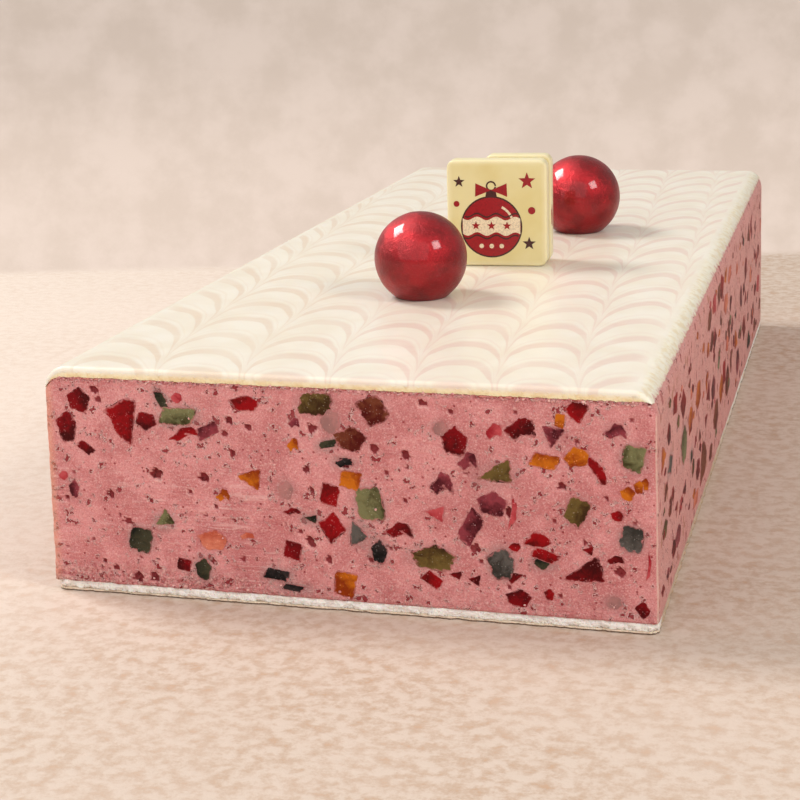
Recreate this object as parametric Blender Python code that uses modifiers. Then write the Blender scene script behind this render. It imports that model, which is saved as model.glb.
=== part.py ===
"""A bar of fruit nougat between a wafer base and a white chocolate top, with two pearls and two plaques.

The cut end faces -Y, the bar runs along Y and stands on its wafer, with the origin under its middle.
"""

import math
import random

import bmesh
import bpy
from mathutils import Matrix, Vector

MM = 0.001

# The bar
WIDTH = 110 * MM
LENGTH = 246 * MM
HEIGHT = 42 * MM  # floor to the top of the chocolate at the cut end
RISE = 3.5 * MM  # the back end is this much thicker
TAPER = 2.5 * MM  # and each side is this much further in
LEAN = 0.8 * MM  # each side leans in by this much from floor to top
GAP = 0.3 * MM  # between pieces that touch

# The wafer: two sheets, set in a little on the left
SHEET_LOW = 0.5 * MM
SHEET_HIGH = 0.9 * MM
WAFER_TOP = SHEET_LOW + GAP + SHEET_HIGH
WAFER_INSET = 0.6 * MM
WAFER_CORNER = 1.5 * MM
WAFER_RAGGED = 0.35 * MM

# The chocolate, rounded over both long edges and thinning out part of the way round them
CHOC_THICK = 1.7 * MM
CHOC_ROUND = 3.6 * MM
CHOC_END = math.radians(30)  # its edge is this far round, up from the side
CHOC_EDGE = 0.5 * MM  # and this thick

# The nougat
NOUGAT_BOTTOM = WAFER_TOP + GAP
NOUGAT_TOP = HEIGHT - CHOC_THICK - GAP
NOUGAT_ROUND = 2.2 * MM  # its long top edges, under the chocolate
NOUGAT_CORNER = 0.8 * MM  # its upright edges
FRUIT_PROUD = 0.3 * MM
FRUIT_DEPTH = 2.4 * MM

# The pearls: place of the centre across and along, and radius
PEARL_FOOT = 0.16  # share of the radius that the flat foot takes off
PEARLS = {
    "pearl_front": (-2.2 * MM, -57 * MM, 9.4 * MM),
    "pearl_back": (16.4 * MM, 21 * MM, 9.8 * MM),
}

# The plaques: middle of the front face across and along, width, height, thickness
PLAQUE_TURN = math.radians(4)
PLAQUE_CORNER = 1.8 * MM
PLAQUE_EDGE = 0.55 * MM
PLAQUES = {
    "plaque_front": (6.4 * MM, -24.5 * MM, 21.8 * MM, 23.1 * MM, 4.4 * MM),
    "plaque_back": (9.9 * MM, -18.9 * MM, 14.6 * MM, 23.5 * MM, 4.0 * MM),
}

# Fruit at the cut end, in millimetres: from the middle, from the floor, width, height and turn in degrees
FRONT_FRUIT = [
    (-40.3, 32.5, 4.5, 8, 30), (-29.5, 34, 6.5, 3.5, -10), (-48.5, 36, 4, 4, 0), (-51, 31, 3.5, 5, 20),
    (-47.5, 27, 3.5, 2, 25), (-35, 33, 3.5, 2.5, 0), (-23.5, 31.5, 4.5, 2.5, -35), (-17, 37, 5, 2.3, 0),
    (-4, 37, 6, 3.4, 0), (-16.5, 23, 4, 3.5, 0), (-33, 14.5, 3.4, 3, 0), (-37.5, 10.5, 4, 4.7, 0),
    (-24, 11.5, 5.5, 3.6, 0), (-29.5, 6.5, 2.7, 2.2, 0), (-26, 6, 2.7, 4, 0), (-12, 6, 4.6, 2.3, 0),
    (-9, 10.5, 3.4, 3.4, 0), (-1.5, 15.5, 4.3, 5.2, 0), (-2, 21.5, 3.4, 4, 0), (-10, 21.5, 2.3, 3, 0),
    (-1, 34, 3, 4.5, 0), (2.5, 31.5, 5, 4, 0), (0.5, 5.5, 4, 4.7, 0), (2, 24, 4, 3.2, 0),
    (6.5, 36, 5.8, 5, 0), (20.5, 32, 4.4, 4.7, 0), (32, 34.5, 4.8, 3.6, 0), (42, 37, 3.9, 3, 0),
    (38, 33, 3.7, 3.6, 0), (48, 35, 3.6, 2.7, 0), (51, 30.5, 3.6, 4.3, 0), (36, 29, 4.8, 2.9, 0),
    (41.5, 30, 4.4, 3.2, 0), (45, 27.5, 2.8, 4, 0), (23, 28.5, 3.2, 3.2, 0), (27.5, 26, 6.6, 4.3, 0),
    (18.5, 24, 4, 4, 0), (5.5, 20, 4.6, 6, 20), (17, 19, 3.6, 2.7, 0), (10.7, 15.5, 4.6, 2.7, 0),
    (3.4, 14.5, 3, 4.3, 0), (6.7, 11.5, 2.7, 4, 0), (16, 11, 7.5, 4.3, 0), (16.5, 6.8, 3, 2.3, 0),
    (27, 21, 5, 4, 20), (23, 16.5, 3, 6.2, -20), (28.4, 11, 4.6, 5.6, 0), (30.6, 7.2, 2, 3, 0),
    (31.5, 4, 3.9, 2.6, 0), (34.6, 15.5, 4.8, 2.3, 0), (36, 12.5, 5, 2.2, 0), (41.5, 21, 3.7, 4.9, 15),
    (50.7, 16.5, 3.7, 4.3, 0), (51.3, 24.5, 3, 3, 20), (42.5, 9.7, 6.8, 4.3, 0), (48, 20.5, 2, 2, 0),
    (53, 4.5, 2.4, 3.2, 0),
]

# Fruit near the front of the right side, in millimetres: along, from the floor, width, height and turn in degrees
RIGHT_FRUIT = [
    (-97.5, 33, 3.6, 3.4, 0), (-107, 30.5, 3, 4, 10), (-83.5, 22, 5.5, 7, 0), (-105.5, 24.5, 4, 3.6, 20),
    (-58, 24.5, 5, 5, 30), (-20.5, 10.5, 6, 6, 0), (-48.5, 9, 8, 7.5, 15), (-62.5, 5, 5, 2.8, 0),
    (-113.5, 15.5, 4, 3, 0), (-94, 8, 5, 3.6, 0), (-83.5, 13, 3, 2.5, 0), (-101.5, 18, 2.6, 2.6, 0),
    (8.5, 11, 6, 6, 20), (-26.5, 18, 5, 5, 0), (-7, 13, 5, 5, 40),
]

# The largest pits at the cut end: from the middle, from the floor, across, and how deep
FRONT_PITS = [
    (-34, 23, 2.2, 1.2), (30, 20, 1.8, 1.0), (1, 27, 1.8, 0.9), (-20, 33.5, 1.4, 0.8),
    (12, 29, 1.5, 0.8), (-43, 19, 1.3, 0.7), (39, 25, 1.4, 0.8), (-6, 25.5, 1.3, 0.7),
]

SIDE_FRUIT_COUNT = 72
BACK_FRUIT_COUNT = 38
SIDE_PIT_COUNT = 8


def clear_scene():
    for old in list(bpy.data.objects):
        bpy.data.objects.remove(old, do_unlink=True)


def new_collection(name):
    collection = bpy.data.collections.new(name)
    bpy.context.scene.collection.children.link(collection)
    return collection


def material(name, color, roughness, metallic=0.0):
    mat = bpy.data.materials.new(name)
    mat.use_nodes = True
    shader = mat.node_tree.nodes["Principled BSDF"]
    shader.inputs["Base Color"].default_value = (*color, 1)
    shader.inputs["Roughness"].default_value = roughness
    shader.inputs["Metallic"].default_value = metallic
    return mat


def mesh_object(bm, name, collection, mat=None):
    mesh = bpy.data.meshes.new(name)
    bm.to_mesh(mesh)
    bm.free()
    obj = bpy.data.objects.new(name, mesh)
    collection.objects.link(obj)
    if mat:
        mesh.materials.append(mat)
    return obj


def along(y):
    """0 at the cut end, 1 at the back end."""
    return y / LENGTH + 0.5


def top_height(y):
    return HEIGHT + RISE * along(y)


def half_width(y, z):
    """Half the width of the plain bar at a height."""
    return WIDTH / 2 - TAPER * along(y) - LEAN * z / HEIGHT


def settle(point):
    """Moves a point of a straight bar onto the real one, which is thicker and narrower at its back."""
    share = (point.z - NOUGAT_BOTTOM) / (HEIGHT - NOUGAT_BOTTOM)
    z = point.z + RISE * along(point.y) * max(share, 0)
    x = point.x * half_width(point.y, point.z) / (WIDTH / 2)
    return Vector((x, point.y, z))


def block(width, length, low, high):
    bm = bmesh.new()
    size = Matrix.Diagonal((width, length, high - low, 1))
    bmesh.ops.create_cube(bm, size=1, matrix=Matrix.Translation((0, 0, (low + high) / 2)) @ size)
    return bm


def round_edges(bm, edges, radius, segments):
    bmesh.ops.bevel(bm, geom=edges, offset=radius, segments=segments, profile=0.5, affect="EDGES")


def ends(edge, axis):
    """The places of an edge's two ends along an axis, lowest first."""
    return sorted(vert.co[axis] for vert in edge.verts)


def divide_along(bm, step):
    """Cuts the mesh across every so often, so that a long face can follow a gentle curve."""
    count = round(LENGTH / step)
    for i in range(1, count):
        geom = bm.verts[:] + bm.edges[:] + bm.faces[:]
        place = Vector((0, (i / count - 0.5) * LENGTH, 0))
        bmesh.ops.bisect_plane(bm, geom=geom, plane_co=place, plane_no=(0, 1, 0))


def make_wafer(name, low, high, seed, collection, mat):
    """One sheet, with its edge worn ragged."""
    bm = block(WIDTH - WAFER_INSET, LENGTH, low, high)
    round_edges(bm, [e for e in bm.edges if ends(e, 2) == [low, high]], WAFER_CORNER, 3)
    divide_along(bm, 7 * MM)
    draw = random.Random(seed)
    wear = {}
    for vert in bm.verts:
        place = (round(vert.co.x / MM, 1), round(vert.co.y / MM, 1))
        if place not in wear:
            wear[place] = draw.uniform(0, WAFER_RAGGED)
        inward = Vector((-vert.co.x, 0, 0)).normalized()
        if abs(abs(vert.co.y) - LENGTH / 2) < WAFER_CORNER / 2:
            inward = Vector((0, -vert.co.y, 0)).normalized()
        vert.co += inward * wear[place]
        vert.co.x *= half_width(vert.co.y, 0) / (WIDTH / 2)
        vert.co.x += WAFER_INSET / 2
    return mesh_object(bm, name, collection, mat)


def chocolate_section():
    """Places across the chocolate's outer face, from the left edge over the top to the right edge.

    Each has the side it is on (or its share of the way across the flat top), how far round the long edge
    it lies, up from the side, and the chocolate's thickness there.
    """
    steps = 5
    right = []
    for step in range(steps + 1):
        turn = CHOC_END + (math.pi / 2 - CHOC_END) * step / steps
        thick = CHOC_EDGE + (CHOC_THICK - CHOC_EDGE) * math.sin(math.pi / 2 * step / steps)
        right.append((1, turn, thick))
    left = [(-1, turn, thick) for _, turn, thick in right]
    middle = [(share, math.pi / 2, CHOC_THICK) for share in (-0.75, -0.45, -0.15, 0.15, 0.45, 0.75)]
    return left + middle + right[::-1]


def make_chocolate(collection, mat):
    """A sheet laid over the top and round both long edges, then thickened inwards."""
    section = chocolate_section()
    rows = 48
    bm = bmesh.new()
    bmesh.ops.create_grid(bm, x_segments=len(section) - 1, y_segments=rows, size=0.5)
    thickness = []
    for vert in bm.verts:
        side, turn, thick = section[round((vert.co.x + 0.5) * (len(section) - 1))]
        y = vert.co.y * LENGTH
        flat = half_width(y, HEIGHT) - CHOC_ROUND
        x = side * (flat + CHOC_ROUND * math.cos(turn))
        vert.co = (x, y, top_height(y) - CHOC_ROUND * (1 - math.sin(turn)))
        thickness.append(thick)
    bmesh.ops.recalc_face_normals(bm, faces=bm.faces[:])
    if sum(f.normal.z for f in bm.faces) < 0:
        bmesh.ops.reverse_faces(bm, faces=bm.faces[:])
    obj = mesh_object(bm, "chocolate_top", collection, mat)
    group = obj.vertex_groups.new(name="thickness")
    for index, thick in enumerate(thickness):
        group.add([index], thick / CHOC_THICK, "REPLACE")
    solidify = obj.modifiers.new("Thickness", "SOLIDIFY")
    solidify.thickness = CHOC_THICK
    solidify.offset = -1
    solidify.vertex_group = group.name
    return obj


def nougat_face(face):
    """The foot of a face's middle line, the way along the face and the way out of it."""
    return {
        "front": (Vector((0, -LENGTH / 2, 0)), Vector((1, 0, 0)), Vector((0, -1, 0))),
        "back": (Vector((0, LENGTH / 2, 0)), Vector((-1, 0, 0)), Vector((0, 1, 0))),
        "right": (Vector((WIDTH / 2, 0, 0)), Vector((0, 1, 0)), Vector((1, 0, 0))),
        "left": (Vector((-WIDTH / 2, 0, 0)), Vector((0, -1, 0)), Vector((-1, 0, 0))),
    }[face]


def add_chip(face, across, height, wide, tall, turn, draw, collection):
    """One piece of fruit: a short prism of five or six uneven sides, sunk in a face and standing a little proud."""
    origin, right, out = nougat_face(face)
    sides = draw.choice((5, 6))
    bm = bmesh.new()
    bmesh.ops.create_cone(
        bm, cap_ends=True, segments=sides, radius1=0.5, radius2=0.46, depth=FRUIT_DEPTH + FRUIT_PROUD
    )
    shift = [draw.uniform(0.86, 1.12) for _ in range(sides)]
    for vert in bm.verts:
        corner = round(math.atan2(vert.co.y, vert.co.x) / (2 * math.pi) * sides) % sides
        flat = Vector((vert.co.x * wide * shift[corner], vert.co.y * tall * shift[corner]))
        flat.rotate(Matrix.Rotation(math.radians(turn), 2))
        rise = vert.co.z - (FRUIT_DEPTH - FRUIT_PROUD) / 2
        place = origin + right * (across + flat.x) + Vector((0, 0, height + flat.y))
        vert.co = settle(place) + out * rise
    return closed_helper(bm, "fruit", collection)


def add_pit(face, across, height, wide, deep, collection):
    """A round pit, cut by a small ball that is mostly outside the face."""
    origin, right, out = nougat_face(face)
    bm = bmesh.new()
    bmesh.ops.create_icosphere(bm, subdivisions=1, radius=0.5)
    place = settle(origin + right * across + Vector((0, 0, height)))
    for vert in bm.verts:
        co = vert.co
        vert.co = place + right * co.x * wide + out * co.y * deep * 2 + Vector((0, 0, co.z * wide))
    return closed_helper(bm, "pit", collection)


def closed_helper(bm, name, collection):
    bmesh.ops.recalc_face_normals(bm, faces=bm.faces[:])
    helper = mesh_object(bm, name, collection)
    helper.hide_render = True
    helper.display_type = "WIRE"
    return helper


def scattered(count, half_length, low, high, draw, spread, taken=()):
    """Places on a side, largest first, each clear of those before it and of those taken."""
    placed = list(taken)
    tries = 0
    while len(placed) < count and tries < 6000:
        tries += 1
        size = 6.8 - 4.4 * len(placed) / count
        across = draw.uniform(-half_length, half_length)
        height = draw.uniform(low + size * 0.5, high - size * 0.5)
        if all(math.hypot(across - a, height - h) > (size + s) * spread for a, h, s in placed):
            placed.append((across, height, size))
    return placed[len(taken):]


def make_nougat(collection, mat, cutters, joined):
    bm = block(WIDTH, LENGTH, NOUGAT_BOTTOM, NOUGAT_TOP)
    near = 0.01 * MM
    shoulders = [
        e for e in bm.edges
        if ends(e, 2)[0] > NOUGAT_TOP - near and ends(e, 1)[1] - ends(e, 1)[0] > LENGTH - near
    ]
    round_edges(bm, shoulders, NOUGAT_ROUND, 4)
    corners = [
        e for e in bm.edges
        if abs(sum(ends(e, 1))) > LENGTH - near and ends(e, 2)[1] - ends(e, 2)[0] > near
    ]
    round_edges(bm, corners, NOUGAT_CORNER, 3)
    divide_along(bm, 30 * MM)
    for vert in bm.verts:
        vert.co = settle(vert.co)
    nougat = mesh_object(bm, "nougat", collection, mat)

    draw = random.Random(41)
    places = random.Random(17)
    for face, fruit in (("front", FRONT_FRUIT), ("right", RIGHT_FRUIT)):
        for across, height, wide, tall, turn in fruit:
            add_chip(face, across * MM, height * MM, wide * MM, tall * MM, turn, draw, joined)
    for across, height, wide, deep in FRONT_PITS:
        add_pit("front", across * MM, height * MM, wide * MM, deep * MM, cutters)

    low = NOUGAT_BOTTOM / MM + 0.8
    high = (NOUGAT_TOP - NOUGAT_ROUND) / MM
    taken = [(across, height, max(wide, tall)) for across, height, wide, tall, _ in RIGHT_FRUIT]
    faces = (
        ("right", SIDE_FRUIT_COUNT, 118, taken),
        ("left", SIDE_FRUIT_COUNT, 118, ()),
        ("back", BACK_FRUIT_COUNT, 49, ()),
    )
    for face, count, reach, taken in faces:
        for across, height, size in scattered(count, reach, low, high, places, 0.62, taken):
            shape = places.uniform(0.65, 1.0)
            turn = places.uniform(0, 180)
            add_chip(face, across * MM, height * MM, size * MM, size * shape * MM, turn, draw, joined)
    for face, reach in (("right", 115), ("left", 115), ("back", 48)):
        for across, height, _ in scattered(SIDE_PIT_COUNT, reach, low, high, places, 1.5):
            add_pit(face, across * MM, height * MM, 1.5 * MM, 0.8 * MM, cutters)

    for name, operation, pieces in (("Fruit", "UNION", joined), ("Pits", "DIFFERENCE", cutters)):
        boolean = nougat.modifiers.new(name, "BOOLEAN")
        boolean.operation = operation
        boolean.operand_type = "COLLECTION"
        boolean.collection = pieces
        boolean.solver = "EXACT"
        bake_modifiers(nougat)
        for piece in list(pieces.objects):
            bpy.data.objects.remove(piece, do_unlink=True)
    return nougat


def bake_modifiers(obj):
    """Applies the modifiers by taking the evaluated mesh."""
    graph = bpy.context.evaluated_depsgraph_get()
    mesh = bpy.data.meshes.new_from_object(obj.evaluated_get(graph))
    obj.modifiers.clear()
    obj.data = mesh


def on_top(x, y, turn=0.0):
    """A frame that stands on the chocolate, a gap above it, and follows its slope."""
    slope = Matrix.Rotation(math.atan2(RISE, LENGTH), 4, "X")
    return Matrix.Translation((x, y, top_height(y) + GAP)) @ slope @ Matrix.Rotation(turn, 4, "Z")


def make_pearl(name, collection, mat):
    x, y, radius = PEARLS[name]
    bm = bmesh.new()
    bmesh.ops.create_uvsphere(bm, u_segments=32, v_segments=18, radius=radius)
    geom = bm.verts[:] + bm.edges[:] + bm.faces[:]
    foot = radius * (1 - PEARL_FOOT)
    bmesh.ops.bisect_plane(bm, geom=geom, plane_co=(0, 0, -foot), plane_no=(0, 0, -1), clear_outer=True)
    bmesh.ops.holes_fill(bm, edges=[e for e in bm.edges if e.is_boundary])
    bmesh.ops.transform(bm, matrix=on_top(x, y) @ Matrix.Translation((0, 0, foot)), verts=bm.verts)
    pearl = mesh_object(bm, name, collection, mat)
    pearl.data.shade_smooth()
    return pearl


def make_plaque(name, collection, mat):
    """A moulded tile with rounded corners and softened edges."""
    x, y, wide, tall, thick = PLAQUES[name]
    bm = bmesh.new()
    size = Matrix.Diagonal((wide, thick, tall, 1))
    bmesh.ops.create_cube(bm, size=1, matrix=Matrix.Translation((0, thick / 2, tall / 2)) @ size)
    through = [e for e in bm.edges if abs(e.verts[0].co.y - e.verts[1].co.y) > thick / 2]
    bmesh.ops.bevel(bm, geom=through, offset=PLAQUE_CORNER, segments=4, profile=0.5, affect="EDGES")
    rims = [e for e in bm.edges if abs(e.verts[0].co.y - e.verts[1].co.y) < PLAQUE_EDGE]
    bmesh.ops.bevel(bm, geom=rims, offset=PLAQUE_EDGE, segments=2, profile=0.5, affect="EDGES")
    bmesh.ops.transform(bm, matrix=on_top(x, y, PLAQUE_TURN), verts=bm.verts)
    plaque = mesh_object(bm, name, collection, mat)
    plaque.data.shade_smooth()
    plaque.data.set_sharp_from_angle(angle=math.radians(40))
    return plaque


def main():
    clear_scene()
    bar = new_collection("nougat_bar")
    cutters = new_collection("pit_cutters")
    joined = new_collection("fruit_pieces")
    cutters.hide_render = True
    joined.hide_render = True

    wafer = material("wafer", (0.86, 0.78, 0.66), 0.9)
    pink = material("pink_nougat", (0.66, 0.29, 0.25), 0.7)
    white = material("white_chocolate", (0.9, 0.82, 0.66), 0.3)
    red = material("red_pearl", (0.32, 0.01, 0.02), 0.25, 0.5)
    cream = material("plaque_chocolate", (0.88, 0.76, 0.42), 0.35)

    make_wafer("wafer_lower", 0, SHEET_LOW, 5, bar, wafer)
    make_wafer("wafer_upper", SHEET_LOW + GAP, WAFER_TOP, 6, bar, wafer)
    make_nougat(bar, pink, cutters, joined)
    make_chocolate(bar, white)
    for name in PEARLS:
        make_pearl(name, bar, red)
    for name in PLAQUES:
        make_plaque(name, bar, cream)
    for helpers in (cutters, joined):
        bpy.data.collections.remove(helpers)


main()
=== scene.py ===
import random
from math import atan2, cos, exp, hypot, pi, radians, sin, sqrt

import bmesh
import bpy
import numpy as np
from mathutils import Matrix, Vector, noise
from mathutils.kdtree import KDTree


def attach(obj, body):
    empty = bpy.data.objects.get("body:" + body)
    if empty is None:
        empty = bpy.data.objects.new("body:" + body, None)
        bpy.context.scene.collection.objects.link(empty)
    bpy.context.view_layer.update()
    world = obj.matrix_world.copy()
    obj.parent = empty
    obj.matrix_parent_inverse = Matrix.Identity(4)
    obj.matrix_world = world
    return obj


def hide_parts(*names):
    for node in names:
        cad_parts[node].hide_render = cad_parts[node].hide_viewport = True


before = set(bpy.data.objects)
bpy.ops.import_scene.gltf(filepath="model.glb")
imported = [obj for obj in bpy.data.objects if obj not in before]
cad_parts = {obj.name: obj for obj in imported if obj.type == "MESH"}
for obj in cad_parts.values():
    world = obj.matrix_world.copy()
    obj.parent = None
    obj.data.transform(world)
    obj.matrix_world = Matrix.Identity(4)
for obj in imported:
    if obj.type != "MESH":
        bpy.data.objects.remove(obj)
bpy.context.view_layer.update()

MM = 0.001
NEAR = 0.01 * MM

# The bar, with the sizes and places of its solids
WIDTH = 110 * MM
LENGTH = 246 * MM
HEIGHT = 42 * MM
RISE = 3.5 * MM
TAPER = 2.5 * MM
LEAN = 0.8 * MM
GAP = 0.3 * MM
SHEET_LOW = 0.5 * MM
SHEET_HIGH = 0.9 * MM
WAFER_TOP = SHEET_LOW + GAP + SHEET_HIGH
WAFER_INSET = 0.6 * MM
WAFER_CORNER = 1.5 * MM
WAFER_RAGGED = 0.35 * MM
SHEET_APART = 0.06 * MM
CHOC_THICK = 1.7 * MM
CHOC_ROUND = 4.2 * MM
CHOC_END = radians(30)
NOUGAT_BOTTOM = WAFER_TOP + GAP
NOUGAT_TOP = HEIGHT - CHOC_THICK - GAP
NOUGAT_ROUND = 2.2 * MM
NOUGAT_CORNER = 0.8 * MM
PEARL_FOOT = 0.16
PEARLS = {
    "pearl_front": (-2.2 * MM, -57 * MM, 9.4 * MM),
    "pearl_back": (16.4 * MM, 21 * MM, 9.8 * MM),
}
PLAQUE_TURN = radians(4)
PLAQUE_CORNER = 1.8 * MM
PLAQUE_EDGE = 0.9 * MM
PLAQUES = {
    "plaque_front": (6.4 * MM, -24.5 * MM, 21.8 * MM, 23.1 * MM, 4.4 * MM),
    "plaque_back": (9.9 * MM, -18.9 * MM, 14.6 * MM, 23.5 * MM, 4 * MM),
}

# The bar's upright faces: a place on each, the way along it and the way out
FACES = {
    "front": ((0, -LENGTH / 2, 0), (1, 0, 0), (0, -1, 0)),
    "back": ((0, LENGTH / 2, 0), (-1, 0, 0), (0, 1, 0)),
    "right": ((WIDTH / 2, 0, 0), (0, 1, 0), (1, 0, 0)),
    "left": ((-WIDTH / 2, 0, 0), (0, -1, 0), (-1, 0, 0)),
}
REACHES = {"front": 52, "back": 49, "right": 118, "left": 118}  # how far fruit and pits go, in millimetres
SMEAR = {"front": 1.1, "back": 1.1, "right": 1.9, "left": 1.9}  # how far chips are drawn out along each face
FRUIT_COUNTS = {"right": 72, "left": 72, "back": 38}
SMALL_FRUIT_COUNT = 80  # more on each long side, under 3 mm, too small for the solid
MOST_TRIES = 6000
FRUIT_SPREAD = 0.62  # how far apart the middles of two pieces are at least, in sums of their sizes
CHIP_DEEP = 2.2  # how far a chip's back is sunk in the nougat, in millimetres
PIT_COUNTS = {"front": 120, "right": 80, "left": 80, "back": 50}
PIT_HEIGHTS = (3, 38.5)

# Crumbs at the cut end: how many, and from and up to which height in millimetres
CRUMB_ROWS = ((170, 39.3, 40.1), (90, 2, 4), (40, 4, 38))
CRUMB_REACH = 54

# How many times the edges of the block and of the sheets are divided along X, Y and Z
NOUGAT_PARTS = ((3, 92), (2, 100), (95,))
WAFER_PARTS = ((2, 100), (4, 100), (4,))

# Into how many parts the chocolate's roundings, its flat top and its length are divided
ROUND_PARTS = 13
FLAT_PARTS = 44
ROW_PARTS = 400

# The real chocolate lies closely on the nougat, and thins out to a feather edge
CHOC_DEEP = 2.2 * MM
CHOC_FEATHER = 0.2 * MM
CHOC_PROUD = 0.06 * MM
LIP = 0.7 * MM  # rounding of its edge at both ends

# Outlines of cut fruit, as corners in a box of one by one
SHAPES = {
    "block": ((-0.5, -0.36), (0.34, -0.5), (0.5, 0.34), (-0.36, 0.5)),
    "kite": ((-0.5, 0.08), (-0.02, -0.5), (0.5, -0.06), (0.08, 0.5)),
    "wedge": ((-0.5, 0.12), (0.36, -0.5), (0.5, 0.5)),
    "slab": ((-0.5, -0.2), (0.3, -0.5), (0.5, 0.28), (-0.32, 0.5)),
    "long": ((-0.5, 0.34), (-0.3, 0.5), (0.3, 0.1), (0.5, -0.4), (0.18, -0.5), (-0.16, -0.1)),
    "gem": ((-0.5, 0.16), (-0.26, -0.44), (0.3, -0.5), (0.5, 0.1), (0.06, 0.5)),
    "dome": ((-0.5, -0.36), (0.16, -0.5), (0.5, -0.3), (0.3, 0.3), (-0.04, 0.5)),
    "scrap": ((-0.5, -0.1), (-0.24, -0.5), (0.14, -0.2), (0.5, -0.42), (0.4, 0.34), (0, 0.5), (-0.2, 0.16)),
    "round": ((-0.5, 0), (-0.32, -0.4), (0.14, -0.5), (0.5, -0.12), (0.38, 0.36), (-0.1, 0.5)),
    "cleft": ((-0.5, 0.2), (0.2, 0.5), (0.5, 0.38), (0.3, -0.5), (-0.1, -0.3), (-0.3, 0.1)),
    "crescent": ((-0.2, -0.5), (0.36, -0.26), (0.5, 0.2), (0.1, 0.5), (0.16, 0.06)),
}


def listed(text):
    """Fruit from a text: kind, outline, place along and up the face, width, height, and its turn if any."""
    entries = [entry.split() for entry in text.split(",")]
    return [(kind, cut, *map(float, (*sizes, 0)[:5])) for kind, cut, *sizes in entries]


# Fruit at the cut end, in millimetres from its middle and from the floor
FRONT_FRUIT = listed("""
    ruby gem -48.6 36.2 4.3 4.3, ruby gem -50.9 31.2 3.9 5.8, ruby slab -47.3 27.2 3.7 2 -25,
    red cleft -40.6 32.6 6 8.2, ruby gem -35.2 32.6 3.9 3.2 180, pine slab -32.3 36.6 1.8 4.2 30,
    green slab -29.3 33.8 6.8 3.6 8, red scrap -28.3 30.8 5.5 2.2 16, plum slab -23.7 31.6 4.4 2.5 35,
    rose round -29.5 37.2 1.9 2, red gem -16.8 36.9 5.4 2.8, olive block -3.8 37.2 6 4 6,
    orange wedge -16.5 23.1 4.3 3.8, orange scrap -21.4 19.9 2.5 2.4, orange scrap -8.2 29.9 1.9 2.4,
    plum scrap -7.9 33.8 1.9 1.8, green wedge -32.9 14.4 3.5 3.2 40, pine block -37.5 10.7 4.3 4.8,
    salmon gem -23.8 11.7 5.5 3.8, salmon scrap -17.4 12.8 2.7 1.3, ruby block -29.4 6.6 2.9 2.4,
    pine gem -25.8 6.1 2.8 4.1, dark slab -11.8 5.9 4.8 2.3, dark slab -8.9 3.7 4.3 1.4,
    ruby block -8.9 10.7 3.5 3.5, red kite -1.6 15.4 4.6 5.4, red block -1.8 21.3 3.5 4.1,
    veiled gem -9.8 21.6 2.5 3.3, pine wedge -5.4 16.6 2.4 1.5, ruby scrap -8.6 17.8 3.2 1.3,
    plum gem -50.1 19.5 1.8 3.2, rose round -52.1 21.8 1.8 1.7, veiled round -1.3 34.3 3.2 4.5,
    brown gem 2.2 31.4 5.2 4.2, pine slab -1.7 30.3 3.5 1.5 20, orange block 0.5 5.1 4.2 4.8,
    orange block 2 24.1 4 3.3, dark scrap 1 27.2 3.1 1.7, brown kite 6.4 36.5 6.4 5.6 -12,
    ruby gem 20.4 32.1 4.6 4.9, veiled round 18.2 34.1 2.5 2.3, rose scrap 27.5 34.1 2.9 2.7,
    ruby scrap 32 34.7 4.9 3.7, red dome 41.9 37.9 4.1 3.2 180, orange block 38.8 36.4 1.8 2.6,
    plum wedge 37.9 33.4 3.8 3.8 90, plum scrap 48.2 35 3.6 2.7, green block 51 30.6 4 4.5,
    orange slab 36.3 29.2 5 2.9, orange gem 41.3 30.3 4.5 3.3 20, red long 45 28 3.2 4.4,
    plum scrap 23.1 28.5 3.4 3.3, olive wedge 27.6 26.4 7 4.4 20, plum scrap 18.4 24.3 4 4.1,
    green block 5.5 20 4.8 6.2 20, rose wedge 16.8 18.9 3.7 2.8, ruby scrap 10.7 15.6 4.8 3,
    grey wedge 3.4 14.6 3.2 4.4 180, dark gem 6.7 11.6 2.9 4.2, olive gem 16.1 11.2 7.8 4.4,
    red slab 16.4 7 3.6 2.5 -25, ruby wedge 20.3 8.2 2.5 1.6, plum gem 26.7 21.5 5.2 4.2,
    plum block 23.2 17 3.4 6.3 -24, rose crescent 30.1 20.1 2.2 6.1, grey gem 28.4 11 4.8 5.8,
    ruby wedge 23.6 7.4 2.2 2, ruby wedge 30.6 8.3 2.2 3.3 90, ruby gem 31.3 4.9 4 3.1,
    red dome 34.6 15.6 4.9 2.4, red round 30.8 14 2 1.5, red slab 36.1 12.7 5.1 2.3 -10,
    pine dome 35.6 11.3 3.3 2 180, olive block 41.5 21 3.9 5 -15, grey block 50.7 16.7 3.9 4.5,
    orange gem 50 24.5 2.3 2.4, orange gem 51.9 25.8 1.7 2.3, orange gem 53 26.4 1.2 2.2,
    ruby wedge 42.6 9.7 7.2 4.4 25, ruby wedge 43.2 14.1 1.9 1.5, ruby scrap 47.8 12.9 3 1.5,
    red gem 48.3 20.6 2 1.9, veiled round 47.5 5.3 2.6 2.4, ruby kite 52.4 4.3 2.6 3.1,
    red gem 36.6 6 1.7 2.1, rose crescent 53.2 11.9 1.4 5
""")

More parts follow.
